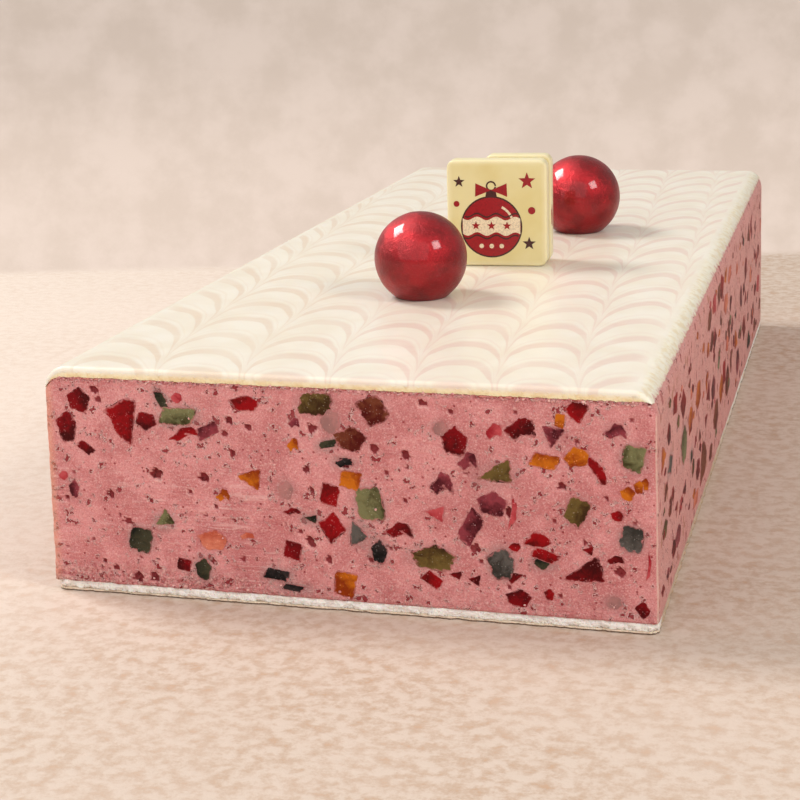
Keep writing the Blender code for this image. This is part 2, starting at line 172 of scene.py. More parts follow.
# Fruit near the front of the right side, in millimetres from its middle and from the floor
RIGHT_FRUIT = listed("""
    red block -97.5 33 3.6 3.4, ruby gem -107 30.5 3 4 10, green gem -83.5 22 5.5 7,
    grey kite -105.5 24.5 4 3.6 20, orange gem -58 24.5 5 5 30, brown round -20.5 10.5 6 6,
    brown dome -48.5 9 8 7.5 15, salmon slab -62.5 5 5 2.8, olive gem -113.5 15.5 4 3, plum gem -94 8 5 3.6,
    ruby wedge -83.5 13 3 2.5, red kite -101.5 18 2.6 2.6, brown round 8.5 11 6 6 20, plum gem -26.5 18 5 5,
    orange block -7 13 5 5 40
""")

# How often each kind of fruit turns up on the other sides
FRUIT_SHARES = {
    "ruby": 8, "red": 7, "plum": 2, "brown": 6, "orange": 4, "olive": 2, "green": 1,
    "pine": 1, "rose": 3, "salmon": 3, "grey": 0, "dark": 0, "veiled": 0,
}

# Dark and bright colour of each kind, and how grey a halo it leaves in the nougat
FRUIT_COLOURS = {
    "ruby": ((0.055, 0.0003, 0.001), (0.21, 0.001, 0.004), 0.1),
    "red": ((0.1, 0.0005, 0.001), (0.3, 0.001, 0.004), 0),
    "plum": ((0.06, 0.004, 0.008), (0.27, 0.04, 0.055), 0.3),
    "green": ((0.045, 0.036, 0.01), (0.2, 0.19, 0.085), 0.8),
    "pine": ((0.007, 0.007, 0.004), (0.05, 0.045, 0.024), 1),
    "olive": ((0.045, 0.017, 0.004), (0.15, 0.095, 0.025), 0.5),
    "orange": ((0.26, 0.03, 0.001), (0.58, 0.15, 0.006), 0),
    "salmon": ((0.48, 0.09, 0.05), (0.68, 0.21, 0.13), 0),
    "rose": ((0.34, 0.015, 0.025), (0.54, 0.08, 0.09), 0),
    "grey": ((0.035, 0.03, 0.025), (0.115, 0.1, 0.09), 0.9),
    "dark": ((0.005, 0.004, 0.004), (0.035, 0.024, 0.024), 1),
    "brown": ((0.08, 0.003, 0.002), (0.18, 0.045, 0.02), 0.2),
    "veiled": ((0.33, 0.16, 0.15), (0.46, 0.2, 0.19), 0.6),
}

# The largest pits at the cut end, in millimetres: from the middle, from the floor, across, how deep
FRONT_PITS = [
    (-34, 23, 2.2, 1.2), (30, 20, 1.8, 1), (1, 27, 1.8, 0.9), (-20, 33.5, 1.4, 0.8),
    (12, 29, 1.5, 0.8), (-43, 19, 1.3, 0.7), (39, 25, 1.4, 0.8), (-6, 25.5, 1.3, 0.7),
]

# The photograph's camera
CAMERA_PLACE = (90.92 * MM, -406.73 * MM, 115.1 * MM)
CAMERA_YAW = radians(15.69)
CAMERA_DOWN = radians(14.54)
CAMERA_ROLL = radians(-1.41)
CAMERA_LENS = 81.73
CAMERA_SENSOR = 36

# Lamps: name, place in metres, watts, size, tint
LAMPS = [
    ("key", (-0.67, 0.1, 0.8), 6.2, (0.3, 0.3), (1, 0.98, 0.95)),
    ("front", (-0.1, -1.05, 0.6), 6, (1.8, 1.1), (1, 0.98, 0.96)),
    ("right", (0.75, -0.43, 0.66), 3.1, (0.24, 0.24), (1, 0.96, 0.92)),
]
ROOM_TINT = (1, 0.95, 0.9)
ROOM_STRENGTH = 0.45

# Bright cards, seen by the pearls alone
CARDS = [
    ("card_left", (-0.67, 0.05, 0.8), 15, (0.5, 0.34), (1, 0.97, 0.97)),
    ("card_right", (0.75, -0.43, 0.66), 4.5, (0.34, 0.34), (1, 0.95, 0.97)),
]


class Value:
    """A number or colour that varies over a surface. Sums and products of numbers add Math nodes."""

    def __init__(self, finish, socket):
        self.finish = finish
        self.socket = socket

    def tinted(self, share, *tint):
        """Turned towards a colour by a share."""
        return self.finish.mix(share, self, colour(*tint))

    def ramp(self, low, high):
        """0 at low and before, 1 at high and past it, smooth between them."""
        settings = {"interpolation_type": "SMOOTHSTEP", "clamp": True}
        return self.finish.node("MapRange", settings, {0: self, 1: low, 2: high, 3: 0, 4: 1})

    def shades(self, low, high, dark, light):
        """One colour at low and before, another at high and past it."""
        return self.finish.mix(self.ramp(low, high), colour(*dark), colour(*light))


def operator(operation, reflected=False):
    """A method of Value that adds one Math node."""
    def method(*values):
        order = values[::-1] if reflected else values
        return values[0].finish.math(operation, *order)
    return method


METHODS = {
    "__abs__": "ABSOLUTE", "root": "SQRT", "fraction": "FRACT", "at_least": "MAXIMUM", "at_most": "MINIMUM"
}
SIGNS = {"add": "ADD", "sub": "SUBTRACT", "mul": "MULTIPLY", "truediv": "DIVIDE", "pow": "POWER"}
for word, operation in METHODS.items():
    setattr(Value, word, operator(operation))
for word, operation in SIGNS.items():
    setattr(Value, f"__{word}__", operator(operation))
    setattr(Value, f"__r{word}__", operator(operation, reflected=True))


class Finish:
    """A material and the nodes that vary it."""

    def __init__(self, name, **fixed):
        self.material = bpy.data.materials.new(name)
        self.material.use_nodes = True
        self.tree = self.material.node_tree
        self.shader = self.tree.nodes["Principled BSDF"]
        for socket, value in fixed.items():
            self.shader.inputs[socket.replace("_", " ")].default_value = value
        self.here = self.place()

    def node(self, kind, settings=None, values=None, out=0):
        node = self.tree.nodes.new("ShaderNode" + kind)
        for name, setting in (settings or {}).items():
            setattr(node, name, setting)
        for name, value in (values or {}).items():
            if isinstance(value, Value):
                self.tree.links.new(value.socket, node.inputs[name])
            else:
                node.inputs[name].default_value = value
        return Value(self, node.outputs[out])

    def math(self, operation, *values):
        return self.node("Math", {"operation": operation}, dict(enumerate(values)))

    def mix(self, share, low, high):
        """Low where the share is 0, high where it is 1."""
        settings = {"data_type": "RGBA", "clamp_factor": True}
        return self.node("Mix", settings, {0: share, 6: low, 7: high}, out=2)

    def place(self, *stretch):
        """The place on the piece in millimetres, divided by a stretch."""
        scale = [1 / (MM * factor) for factor in stretch or (1, 1, 1)]
        return self.node("Mapping", {}, {"Vector": self.node("TexCoord", out="Object"), "Scale": scale})

    def across(self, axis):
        return self.node("SeparateXYZ", {}, {0: self.here}, out=axis)

    def grain(self, size, detail=2, rough=0.5, place=None, distortion=0):
        """Noise of about 0 to 1, changing over a size in millimetres."""
        values = {"Vector": place or self.here, "Scale": 1 / size, "Detail": detail}
        values |= {"Roughness": rough, "Distortion": distortion}
        return self.node("TexNoise", {"noise_dimensions": "3D"}, values)

    def cells(self, size):
        """Distance to the nearest of many scattered points, in sizes in millimetres."""
        values = {"Vector": self.here, "Scale": 1 / size}
        return self.node("TexVoronoi", {"feature": "F1"}, values, out="Distance")

    def stored(self, name):
        return self.node("Attribute", {"attribute_name": name}, out="Fac")

    def feed(self, socket, value):
        self.tree.links.new(value.socket, self.shader.inputs[socket])

    def bump(self, height, depth):
        """Relief of a depth in millimetres, from a height of 0 to 1."""
        values = {"Height": height, "Distance": depth * MM, "Strength": 1}
        self.feed("Normal", self.node("Bump", {}, values))

    def with_look(self, base, roughness, height, depth):
        """Feeds in the colour, the roughness and the relief, and gives back the finish."""
        self.feed("Base Color", base)
        self.feed("Roughness", roughness)
        self.bump(height, depth)
        return self


def colour(red, green, blue):
    return (red, green, blue, 1)


def along(y):
    return y / LENGTH + 0.5


def top_height(y):
    return HEIGHT + RISE * along(y)


def half_width(y, z):
    return WIDTH / 2 - TAPER * along(y) - LEAN * z / HEIGHT


def settle(points):
    """Moves points of a straight bar onto the real one, which is thicker and narrower at its back."""
    x, y, z = points.T
    share = np.maximum((z - NOUGAT_BOTTOM) / (HEIGHT - NOUGAT_BOTTOM), 0)
    return np.stack([x * half_width(y, z) / (WIDTH / 2), y, z + RISE * along(y) * share], axis=1)


def deselect():
    bpy.ops.object.select_all(action="DESELECT")


def choose(obj):
    """Selects one object alone, as the active one."""
    deselect()
    obj.select_set(True)
    bpy.context.view_layer.objects.active = obj


def edit(obj):
    """Opens one object for editing with nothing selected."""
    choose(obj)
    bpy.ops.object.mode_set(mode="EDIT")
    bpy.ops.mesh.select_all(action="DESELECT")


def done():
    bpy.ops.object.mode_set(mode="OBJECT")


def pick(kind, test):
    """Selects the faces, edges or verts of the object in edit mode that pass a test."""
    mode = {"faces": "FACE", "edges": "EDGE", "verts": "VERT"}[kind]
    bpy.ops.mesh.select_mode(type=mode)
    bpy.ops.mesh.select_all(action="DESELECT")
    obj = bpy.context.edit_object
    bm = bmesh.from_edit_mesh(obj.data)
    for item in getattr(bm, kind):
        if test(item):
            item.select_set(True)
    bm.select_flush_mode()
    bmesh.update_edit_mesh(obj.data)


def runs_along(edge, axis):
    """Whether an edge is straight along one axis."""
    step = edge.verts[1].co - edge.verts[0].co
    return abs(step[axis]) > 0.9 * step.length


def face_outwards():
    bpy.ops.mesh.select_all(action="SELECT")
    bpy.ops.mesh.normals_make_consistent(inside=False)


def added(name):
    """Names the primitive that was just added, with its place taken into its mesh."""
    obj = bpy.context.object
    choose(obj)
    bpy.ops.object.transform_apply(location=True, rotation=True, scale=True)
    obj.name = name
    obj.data.name = name
    return obj


def add_box(name, low, high):
    deselect()
    size = [high[i] - low[i] for i in range(3)]
    middle = [(high[i] + low[i]) / 2 for i in range(3)]
    bpy.ops.mesh.primitive_cube_add(size=1, location=middle, scale=size)
    return added(name)


def split_edges(axis, parts):
    """Divides every edge along an axis into parts, in edit mode."""
    for step in parts:
        pick("edges", lambda edge: runs_along(edge, axis))
        bpy.ops.mesh.subdivide(number_cuts=step - 1)


def add_grid_box(name, low, high, parts, corner=0):
    """A box with its upright faces divided into parts, and one face each for its top and foot."""
    box = add_box(name, low, high)
    edit(box)
    if corner:
        pick("edges", lambda edge: runs_along(edge, 2))
        bpy.ops.mesh.bevel(offset=corner, segments=6, affect="EDGES")
    pick("faces", lambda face: abs(face.normal.z) > 0.5)
    bpy.ops.mesh.delete(type="ONLY_FACE")
    for axis in (2, 0, 1):
        split_edges(axis, parts[axis])
    pick("edges", lambda edge: edge.is_boundary)
    bpy.ops.mesh.fill_holes(sides=0)
    face_outwards()
    done()
    return box


def add_prism(name, outline, front, depth, scale):
    """An upright outline at a place along Y, drawn out by a depth along Y. It stays open for editing."""
    deselect()
    bpy.ops.mesh.primitive_circle_add(
        vertices=len(outline), radius=0.5, fill_type="NGON",
        rotation=(pi / 2, 0, 0), location=(0, front * scale, 0)
    )
    prism = added(name)
    for vert, (across, up) in zip(prism.data.vertices, outline):
        vert.co = (across * scale, front * scale, up * scale)
    edit(prism)
    bpy.ops.mesh.select_all(action="SELECT")
    bpy.ops.mesh.extrude_region_move(TRANSFORM_OT_translate={"value": (0, depth * scale, 0)})
    face_outwards()
    return prism


def remove(objects):
    for obj in objects:
        bpy.data.objects.remove(obj, do_unlink=True)


def points_of(obj):
    points = np.empty(len(obj.data.vertices) * 3, np.float32)
    obj.data.vertices.foreach_get("co", points)
    return points.reshape(-1, 3).astype(float)


def set_points(obj, points):
    obj.data.vertices.foreach_set("co", points.astype(np.float32).ravel())
    obj.data.update()


def store(obj, name, numbers):
    """Keeps a number for each point, for the material to read."""
    layer = obj.data.attributes.new(name, "FLOAT", "POINT")
    layer.data.foreach_set("value", np.asarray(numbers, np.float32))


def wander(points, size, octaves=3, shift=0, stretch=(1, 1, 1)):
    """Smooth noise of about -1 to 1 at points, changing over a size in metres."""
    places = points / (size * np.array(stretch)) + shift
    return np.array([noise.fractal(Vector(place), 0.8, 2, octaves) for place in places])


def smooth(obj, degrees=180):
    choose(obj)
    bpy.ops.object.shade_smooth_by_angle(angle=radians(degrees))


def join(objects, name):
    deselect()
    for obj in objects:
        obj.select_set(True)
    bpy.context.view_layer.objects.active = objects[0]
    if len(objects) > 1:
        bpy.ops.object.join()
    piece = bpy.context.view_layer.objects.active
    piece.name = name
    piece.data.name = name
    return piece


def copied(master, name):
    """A copy of an object with a mesh of its own."""
    piece = bpy.data.objects.new(name, master.data.copy())
    bpy.context.scene.collection.objects.link(piece)
    return piece


def dress(piece, finish, slot, *nodes):
    """Gives a piece its material and its place in the model."""
    piece.data.materials.clear()
    piece.data.materials.append(finish.material)
    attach(piece, "root")
    if nodes:
        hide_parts(*nodes)


def nougat_finish():
    """Smooth pink paste with torn hollows painted dark as shade, rims painted pale as highlight, crumbs, grey
    halos round dark fruit, sides painted paler as sheen, and painted highlight and glow along the cut end's
    edges.
    """
    finish = Finish(
        "pink_nougat", Specular_IOR_Level=0.25,
        Subsurface_Weight=0.2, Subsurface_Scale=0.8 * MM, Subsurface_Radius=(1, 0.45, 0.35)
    )
    x, y, z = (finish.across(axis) for axis in "XYZ")
    front = y.ramp(-121.6, -122.2)
    hollow = finish.stored("hollow")
    stain = finish.stored("stain")
    mottle = finish.grain(6, 3, 0.55)
    fine = finish.grain(0.8, 4, 0.6)
    dust = finish.grain(0.28, 3, 0.7)
    base = mottle.shades(0.38, 0.62, (0.575, 0.192, 0.195), (0.71, 0.28, 0.282))
    # Painted sheen: the sides are turned paler than the cut end.
    base = base.tinted((1 - front) * 0.55, 0.72, 0.37, 0.33)
    base = base.tinted(fine.ramp(0.5, 0.72) * 0.35, 0.76, 0.4, 0.38)
    base = base.tinted(dust.ramp(0.52, 0.66) * 0.5, 0.92, 0.6, 0.56)
    base = base.tinted(dust.ramp(0.46, 0.32) * 0.5, 0.38, 0.075, 0.08)

    torn = finish.grain(1.7, 4, 0.6)
    clusters = finish.grain(12, 2).ramp(0.5, 0.62)
    level = torn + clusters * 0.03
    # Painted shade and highlight: the crevices and dots are darkened to dark red, and the rims round them
    # turned pale.
    shaded_crevice = level.ramp(0.64, 0.65)
    highlit_rim = level.ramp(0.6, 0.63) * (1 - shaded_crevice)
    dots = finish.cells(1.5).ramp(0.16, 0.1) * finish.grain(4, 2).ramp(0.43, 0.53)
    base = base.tinted(highlit_rim * 0.65, 0.95, 0.66, 0.62)
    base = base.tinted(shaded_crevice * 0.92, 0.27, 0.012, 0.02)
    base = base.tinted(dots * 0.85, 0.3, 0.02, 0.025)

    bits = (finish.cells(4.2) + (torn - 0.5) * 0.5).ramp(0.26, 0.18) * (1 - front)
    bit_tone = finish.grain(5, 1)
    bit_colour = bit_tone.shades(0.5, 0.56, (0.3, 0.02, 0.03), (0.42, 0.14, 0.06))
    base = finish.mix(bits * 0.65, base, bit_colour)
    drag = finish.grain(0.7, 3, 0.6, place=finish.place(14, 14, 1))
    pulled = x.ramp(22, 0) * z.ramp(27, 20) * front * finish.grain(14, 2).ramp(0.45, 0.6)
    # Painted highlight and shade: pale and dark streaks along the drag marks.
    base = base.tinted(drag.ramp(0.56, 0.68) * pulled * 0.4, 0.9, 0.58, 0.55)
    base = base.tinted(drag.ramp(0.42, 0.33) * pulled * 0.35, 0.4, 0.06, 0.07)

    low = z.ramp(7.5, 2.5) * (x.ramp(10, -30) * 0.7 + 0.3)
    rough = (low + z.ramp(39.2, 39.9)).at_most(1) * front
    crumbs = finish.grain(1, 4, 0.65)
    crumb = crumbs.ramp(0.53, 0.6) * rough
    shaded_crack = crumbs.ramp(0.45, 0.38) * rough
    # Painted highlight and shade: crumbs turn paler, partly as highlight, and the cracks darker as shade.
    base = base.tinted(crumb * 0.6, 0.9, 0.56, 0.5)
    base = base.tinted(shaded_crack * 0.6, 0.42, 0.05, 0.05)

    base = base.tinted(stain * 0.55, 0.34, 0.22, 0.21)
    # Painted shade and highlight: pits are darkened and their rims turned pale.
    base = base.tinted(hollow.ramp(0.05, 0.55) * 0.92, 0.24, 0.012, 0.018)
    base = base.tinted((hollow * -1).ramp(0.1, 1) * 0.6, 0.92, 0.6, 0.54)

    from_edge = 55 - z * 0.019 - abs(x)
    # Painted glow: an orange band along the cut end's left edge, as of light through the edge.
    tint = from_edge.ramp(2.2, 0.3) * x.ramp(0, -1) * front
    base = base.tinted(tint * 0.5, 0.84, 0.4, 0.25)
    ragged = (mottle - 0.5) * 0.5
    # Painted highlight: the cut end's upright corners are turned pale.
    arris_highlight = (from_edge + ragged).ramp(0.42, 0.12) * y.ramp(-122, -122.3)
    base = base.tinted(arris_highlight * 0.55, 0.9, 0.7, 0.58)
    streaks = finish.grain(1, 2, place=finish.place(7, 7, 1))
    height = fine * 0.4 + dust * 0.3 + streaks * 0.35 - shaded_crevice * 0.25 + highlit_rim * 0.3 - dots * 0.2
    height = height + drag * pulled * 0.6 + crumb * 0.6 - shaded_crack * 0.6
    return finish.with_look(base, 0.6 - fine * 0.15, height, 0.42)


def candied(name, dark, bright):
    """Clear fruit with a dark side and a bright side, pale specks partly painted as glints, and nougat
    smeared over its rim.
    """
    finish = Finish(
        "candied_" + name, Specular_IOR_Level=0.1, Coat_Weight=0.02, Coat_Roughness=0.2,
        Subsurface_Weight=0.1, Subsurface_Scale=0.5 * MM
    )
    shade = finish.stored("shade")
    mottle = finish.grain(1.5, 3, 0.6, distortion=0.6)
    fine = finish.grain(0.32, 3, 0.65)
    base = (shade + (mottle - 0.5) * 1.7).shades(0, 0.95, dark, bright)
    # Pale specks: partly sugar, partly painted glints.
    flecks = finish.cells(0.45).ramp(0.3, 0.15) * finish.grain(1.6, 2).ramp(0.46, 0.6)
    pale = [min(channel * 1.4 + 0.16, 1) for channel in bright]
    base = base.tinted(flecks * 0.55, *pale)
    veil = (finish.stored("rim") * 0.62 + finish.grain(0.9, 4, 0.62) * 0.8).ramp(0.86, 1.04)
    soft = finish.grain(3, 2).ramp(0.35, 0.65) * 0.5 + 0.5
    base = base.tinted(veil * soft, 0.55, 0.195, 0.195)
    return finish.with_look(base, 0.4 + fine * 0.25 + veil * 0.15, fine * 0.5 + mottle * 0.8, 0.22)


def chocolate_finish():
    """White chocolate with a feathered icing: bows between cusp lines, drawn towards the cut end."""
    finish = Finish(
        "white_chocolate", IOR=1.4, Coat_Roughness=0.2,
        Subsurface_Weight=0.15, Subsurface_Scale=0.8 * MM, Subsurface_Radius=(1, 0.8, 0.5)
    )
    x, y = (finish.across(axis) for axis in "XY")
    swirl = finish.grain(22, 1) - 0.5
    from_front = y + 122
    lean = from_front * 0.055 + 2.5 * (1 - finish.math("EXPONENT", from_front / -15))
    straight = x + lean + swirl * 2
    column = (15.25 - (232.56 - (straight + 1.7).at_most(60)).root()) * 2
    within = (column + 20).fraction() * 2 - 1
    bow = abs(within + 0.04) ** 2.6 * 11.7
    cusp = (abs(within) - 0.84).at_least(0) ** 2 * 300
    edge = (abs(x) / 45) ** 4 * 7
    pitch = 13.2 + x.at_least(0) ** 2 * 0.001
    ripple = (finish.grain(6, 2) - 0.5) * 1.8
    phase = ((y + 112 - edge + bow + cusp + ripple + swirl * 5) / pitch + 40).fraction()
    stripe = phase.ramp(0, 0.07) * phase.ramp(0.42, 0.24)
    thread = phase.ramp(0.44, 0.5) * phase.ramp(0.6, 0.52) * 0.28
    streaks = finish.grain(1.6, 3, 0.6, place=finish.place(5, 1, 1))
    fine_lines = phase * 26 + streaks * 5
    hairs = (fine_lines.fraction() - 0.5) * 0.2
    near_cusp = abs(within).ramp(0.84, 0.98)
    flat = 1 - finish.stored("edge").ramp(0, 0.12)
    inside = abs(x).ramp(52, 47)
    fade = finish.grain(15, 1).ramp(0.3, 0.6) * 0.4 + 0.6
    drawn = (stripe * (0.55 + streaks * 0.6) + thread) * (1 - near_cusp * 0.55) + near_cusp * 0.25 + hairs
    icing = (drawn * flat * inside * fade).at_least(0)
    tone = finish.grain(9, 2).ramp(0.3, 0.7)
    cream = finish.mix(tone, colour(0.875, 0.8, 0.67), colour(0.915, 0.86, 0.75))
    beige = x.shades(-25, 5, (0.8, 0.655, 0.51), (0.81, 0.625, 0.535))
    base = finish.mix(icing.at_most(1) * 0.9, cream, beige)

    round_edge = finish.stored("edge")
    lumps = finish.grain(1.7, 3, 0.62)
    yellow = lumps.shades(0.38, 0.55, (0.86, 0.74, 0.5), (0.97, 0.92, 0.76))
    base = finish.mix(round_edge.ramp(0.15, 0.5) * 0.85, base, yellow)
    pinkish = (round_edge + (lumps - 0.5) * 0.9).ramp(0.86, 1.05) * y.ramp(-122.9, -120)
    base = base.tinted(pinkish * 0.75, 0.68, 0.34, 0.29)

    cut = finish.stored("cut")
    section = lumps.shades(0.35, 0.65, (0.86, 0.67, 0.38), (0.94, 0.8, 0.52))
    base = finish.mix(cut, base, section)
    under = finish.stored("under")
    crumbs = finish.grain(0.9, 4, 0.65)
    # Painted shade: a rough dark red band along the foot of the cut section, fading to the pink of the
    # nougat.
    shaded_gaps = (under + (crumbs - 0.5) * 1.2).ramp(1.72, 1.86) * cut
    gap_shade_tone = crumbs.shades(0.45, 0.55, (0.34, 0.03, 0.03), (0.66, 0.24, 0.21))
    base = finish.mix(shaded_gaps, base, gap_shade_tone)
    finish.feed("Coat Weight", (0.22 - cut * 0.2).at_least(0))
    fine = finish.grain(0.6, 3, 0.6)
    height = fine * (0.05 + cut * 0.6) + lumps * round_edge.ramp(0.1, 0.4) * 0.3 - shaded_gaps * 0.8
    height = height - icing * 0.04 + finish.grain(9, 1) * 0.4
    return finish.with_look(base, 0.38 + cut * 0.3, height, 0.35)


def wafer_finish():
    """White baked starch, beige in its lower sheet, with pores at its torn edge; painted shade darkens the
    pores, the join between the sheets, the right side and the foot.
    """
    finish = Finish("wafer", Subsurface_Weight=0.1, Subsurface_Scale=0.5 * MM)
    pores = finish.cells(0.6)
    fine = finish.grain(0.3, 3, 0.7)
    tone = finish.grain(3, 3, 0.6)
    z = finish.across("Z")
    base = tone.shades(0.3, 0.7, (0.92, 0.86, 0.8), (1, 0.97, 0.93))
    base = base.tinted(z.ramp(0.62, 0.5) * 0.75, 0.74, 0.56, 0.38)
    # Painted shadow: a dark brown band along the very foot of the lower sheet.
    base = base.tinted(z.ramp(0.36, 0.2) * 0.9, 0.13, 0.06, 0.03)
    # Painted shade: the right side near the cut end is turned browner.
    side = finish.across("X").ramp(53.2, 54) * finish.across("Y").ramp(-121, -117)
    base = base.tinted(side * 0.8, 0.6, 0.42, 0.27)
    # Painted shade: a greyish line of pores at the join between the sheets, and darker pores.
    line = (z + (tone - 0.5) * 0.5).ramp(0.95, 0.75) * z.ramp(0.5, 0.6)
    base = base.tinted(line * pores.ramp(0.42, 0.3) * 0.6, 0.42, 0.37, 0.3)
    base = base.tinted(pores.ramp(0.28, 0.12) * 0.4, 0.52, 0.4, 0.29)
    base = base.tinted(fine.ramp(0.55, 0.8) * 0.5, 0.96, 0.93, 0.88)
    return finish.with_look(base, 0.8 + fine * 0.15, pores * 0.7 + fine * 0.5, 0.32)


def pearl_finish():
    """Deep red lustre dust over a sugar shell."""
    finish = Finish(
        "red_pearl", Metallic=0.75, Coat_Weight=0.24, Coat_IOR=1.8, Coat_Roughness=0.07,
        Coat_Tint=colour(1, 0.82, 0.84)
    )
    specks = finish.cells(0.3)
    dust = finish.grain(0.2, 2, 0.7)
    tone = finish.grain(4, 3)
    base = tone.shades(0.35, 0.65, (0.21, 0.002, 0.005), (0.33, 0.004, 0.009))
    base = base.tinted(dust.ramp(0.58, 0.74) * 0.5, 0.6, 0.09, 0.09)
    base = base.tinted(specks.ramp(0.18, 0.06) * 0.5, 0.1, 0.002, 0.004)
    return finish.with_look(base, 0.28 + dust * 0.2, dust * 1 + finish.grain(1, 2), 0.13)


def plaque_finish():
    """Pale yellow moulded chocolate, its rims painted paler as highlight, and its right side painted darker
    and more orange as shade and the pearls' reflection.
    """
    finish = Finish(
        "plaque_chocolate", Coat_Weight=0.2, Coat_Roughness=0.3, IOR=1.45,
        Subsurface_Weight=0.15, Subsurface_Scale=0.8 * MM, Subsurface_Radius=(1, 0.8, 0.4)
    )
    tone = finish.grain(7, 2)
    fine = finish.grain(0.5, 3, 0.6)
    base = tone.shades(0.3, 0.7, (0.74, 0.62, 0.28), (0.79, 0.69, 0.36))
    rim = finish.stored("rim")
    # Painted shade and reflection: the right side is turned darker and more orange, as shaded and reflecting
    # the pearls.
    shade_and_reflection_side = finish.across("X").ramp(16.4, 16.8) * (1 - rim)
    base = base.tinted(shade_and_reflection_side * 0.6, 0.6, 0.38, 0.14)
    # Painted highlight: the rims are turned paler.
    base = base.tinted(rim * 0.6, 0.93, 0.85, 0.58)
    return finish.with_look(base, 0.34 + fine * 0.15, fine * 0.3 + tone, 0.08)


def print_finish(name, *tint):
    """Printed cocoa butter, a little uneven in its cover."""
    finish = Finish("print_" + name)
    fine = finish.grain(0.35, 3, 0.6)
    base = fine.shades(0.35, 0.6, [channel * 0.75 for channel in tint], tint)
    return finish.with_look(base, 0.32 + fine * 0.15, fine, 0.02)


# The far part of the floor glows a little, as a lit wall would, past this line across the view
WALL_START = 222
CAMERA_AWAY = (CAMERA_PLACE[1] * cos(CAMERA_YAW) - CAMERA_PLACE[0] * sin(CAMERA_YAW)) / MM
CAMERA_ASIDE = (CAMERA_PLACE[0] * cos(CAMERA_YAW) + CAMERA_PLACE[1] * sin(CAMERA_YAW)) / MM


def floor_finish():
    """A pale plaster table, painted lighter towards the left as a pool of light, and a darker far part that
    glows as a lit wall.
    """
    finish = Finish("pale_table", Roughness=0.85, Emission_Strength=1)
    x, y = (finish.across(axis) for axis in "XY")
    away = y * cos(CAMERA_YAW) - x * sin(CAMERA_YAW)
    far = away.ramp(WALL_START - 8, WALL_START + 8)
    broad = finish.grain(60, 3, 0.6)
    stone = finish.grain(3, 5, 0.68)
    near = stone.shades(0.38, 0.6, (0.575, 0.425, 0.32), (0.7, 0.58, 0.49))
    near = near.tinted(stone.ramp(0.42, 0.32) * 0.5, 0.58, 0.35, 0.21)
    near = near.tinted(broad.ramp(0.35, 0.65) * 0.35, 0.73, 0.6, 0.51)
    # Painted light: the floor is turned lighter towards the left.
    near = near.tinted(x.ramp(0, -110) * 0.55, 0.92, 0.81, 0.72)
    distance = away - CAMERA_AWAY
    aside = (x * cos(CAMERA_YAW) + y * sin(CAMERA_YAW) - CAMERA_ASIDE) / distance
    seen = finish.node("CombineXYZ", {}, {"X": aside, "Y": 1 / distance * (CAMERA_PLACE[2] / MM)})
    blotches = finish.grain(0.035, 5, 0.6, place=seen)
    wall = blotches.shades(0.36, 0.64, (0.49, 0.4, 0.335), (0.57, 0.47, 0.405))
    finish.feed("Base Color", finish.mix(far, near, colour(0.25, 0.2, 0.17)))
    finish.feed("Emission Color", finish.mix(far, colour(0, 0, 0), wall))
    finish.bump(stone, 0.25)
    return finish


def round_upright_edges(points, radius):
    """Rounds a box's four upright edges, by drawing its points in from the corners."""
    out = points.copy()
    reach = np.array([WIDTH / 2 - radius, LENGTH / 2 - radius])
    inner = np.clip(points[:, :2], -reach, reach)
    away = points[:, :2] - inner
    length = np.linalg.norm(away, axis=1)
    corner = (np.abs(away) > NEAR).all(axis=1)
    out[corner, :2] = inner[corner] + away[corner] / length[corner, None] * radius
    return out


def drawn_down(side, y):
    """How far the chocolate's left edge comes down the rounding at the cut end, from 0 to 0.9."""
    return 0.9 * np.clip(1.2 - (y + LENGTH / 2) / (4 * MM), 0, 1) * (side < 0)


def round_shoulders(points):
    """Rounds the long top edges as the chocolate over them is rounded, deep enough inside it."""
    out = points.copy()
    dx = np.abs(points[:, 0]) - (WIDTH / 2 - CHOC_ROUND)
    dz = points[:, 2] - (HEIGHT - CHOC_ROUND)
    corner = (dx > 0) & (dz > 0)
    across = dx[corner] / CHOC_ROUND
    up = dz[corner] / (CHOC_ROUND - HEIGHT + NOUGAT_TOP)
    turn = np.arctan2(up, across)
    side = np.sign(points[corner, 0])
    end = CHOC_END * (1 - drawn_down(side, points[corner, 1]))
    share = np.clip((turn - end) / (pi / 2 - end), 0, 1)
    deep = CHOC_PROUD + (HEIGHT - NOUGAT_TOP - CHOC_PROUD) * np.sin(pi / 2 * share)
    near_end = np.clip(1.5 - (points[corner, 1] + LENGTH / 2) / MM, 0, 1)
    deep = np.maximum(deep, 0.9 * MM * near_end * np.clip(turn / 0.35, 0.1, 1))
    reach = np.maximum(across, up) * (CHOC_ROUND - deep)
    out[corner, 0] = side * (WIDTH / 2 - CHOC_ROUND + reach * np.cos(turn))
    out[corner, 2] = HEIGHT - CHOC_ROUND + reach * np.sin(turn)
    return out


def outward(points, half, corner):
    """The level way out of a block's upright faces at each point, turning over its rounded corners."""
    reach = np.array([half - corner, LENGTH / 2 - corner])
    away = points[:, :2] - np.clip(points[:, :2], -reach, reach)
    away = away / np.maximum(np.linalg.norm(away, axis=1), NEAR)[:, None]
    return np.concatenate([away, np.zeros((len(points), 1))], axis=1)


def tree_of(points):
    tree = KDTree(len(points))
    for index, point in enumerate(points):
        tree.insert(point, index)
    tree.balance()
    return tree


def on_face(face, across, height):
    """A place on one of the bar's upright faces, from millimetres along it and up."""
    origin, right, _ = FACES[face]
    return np.array(origin) + np.array(right) * across * MM + np.array((0, 0, height * MM))


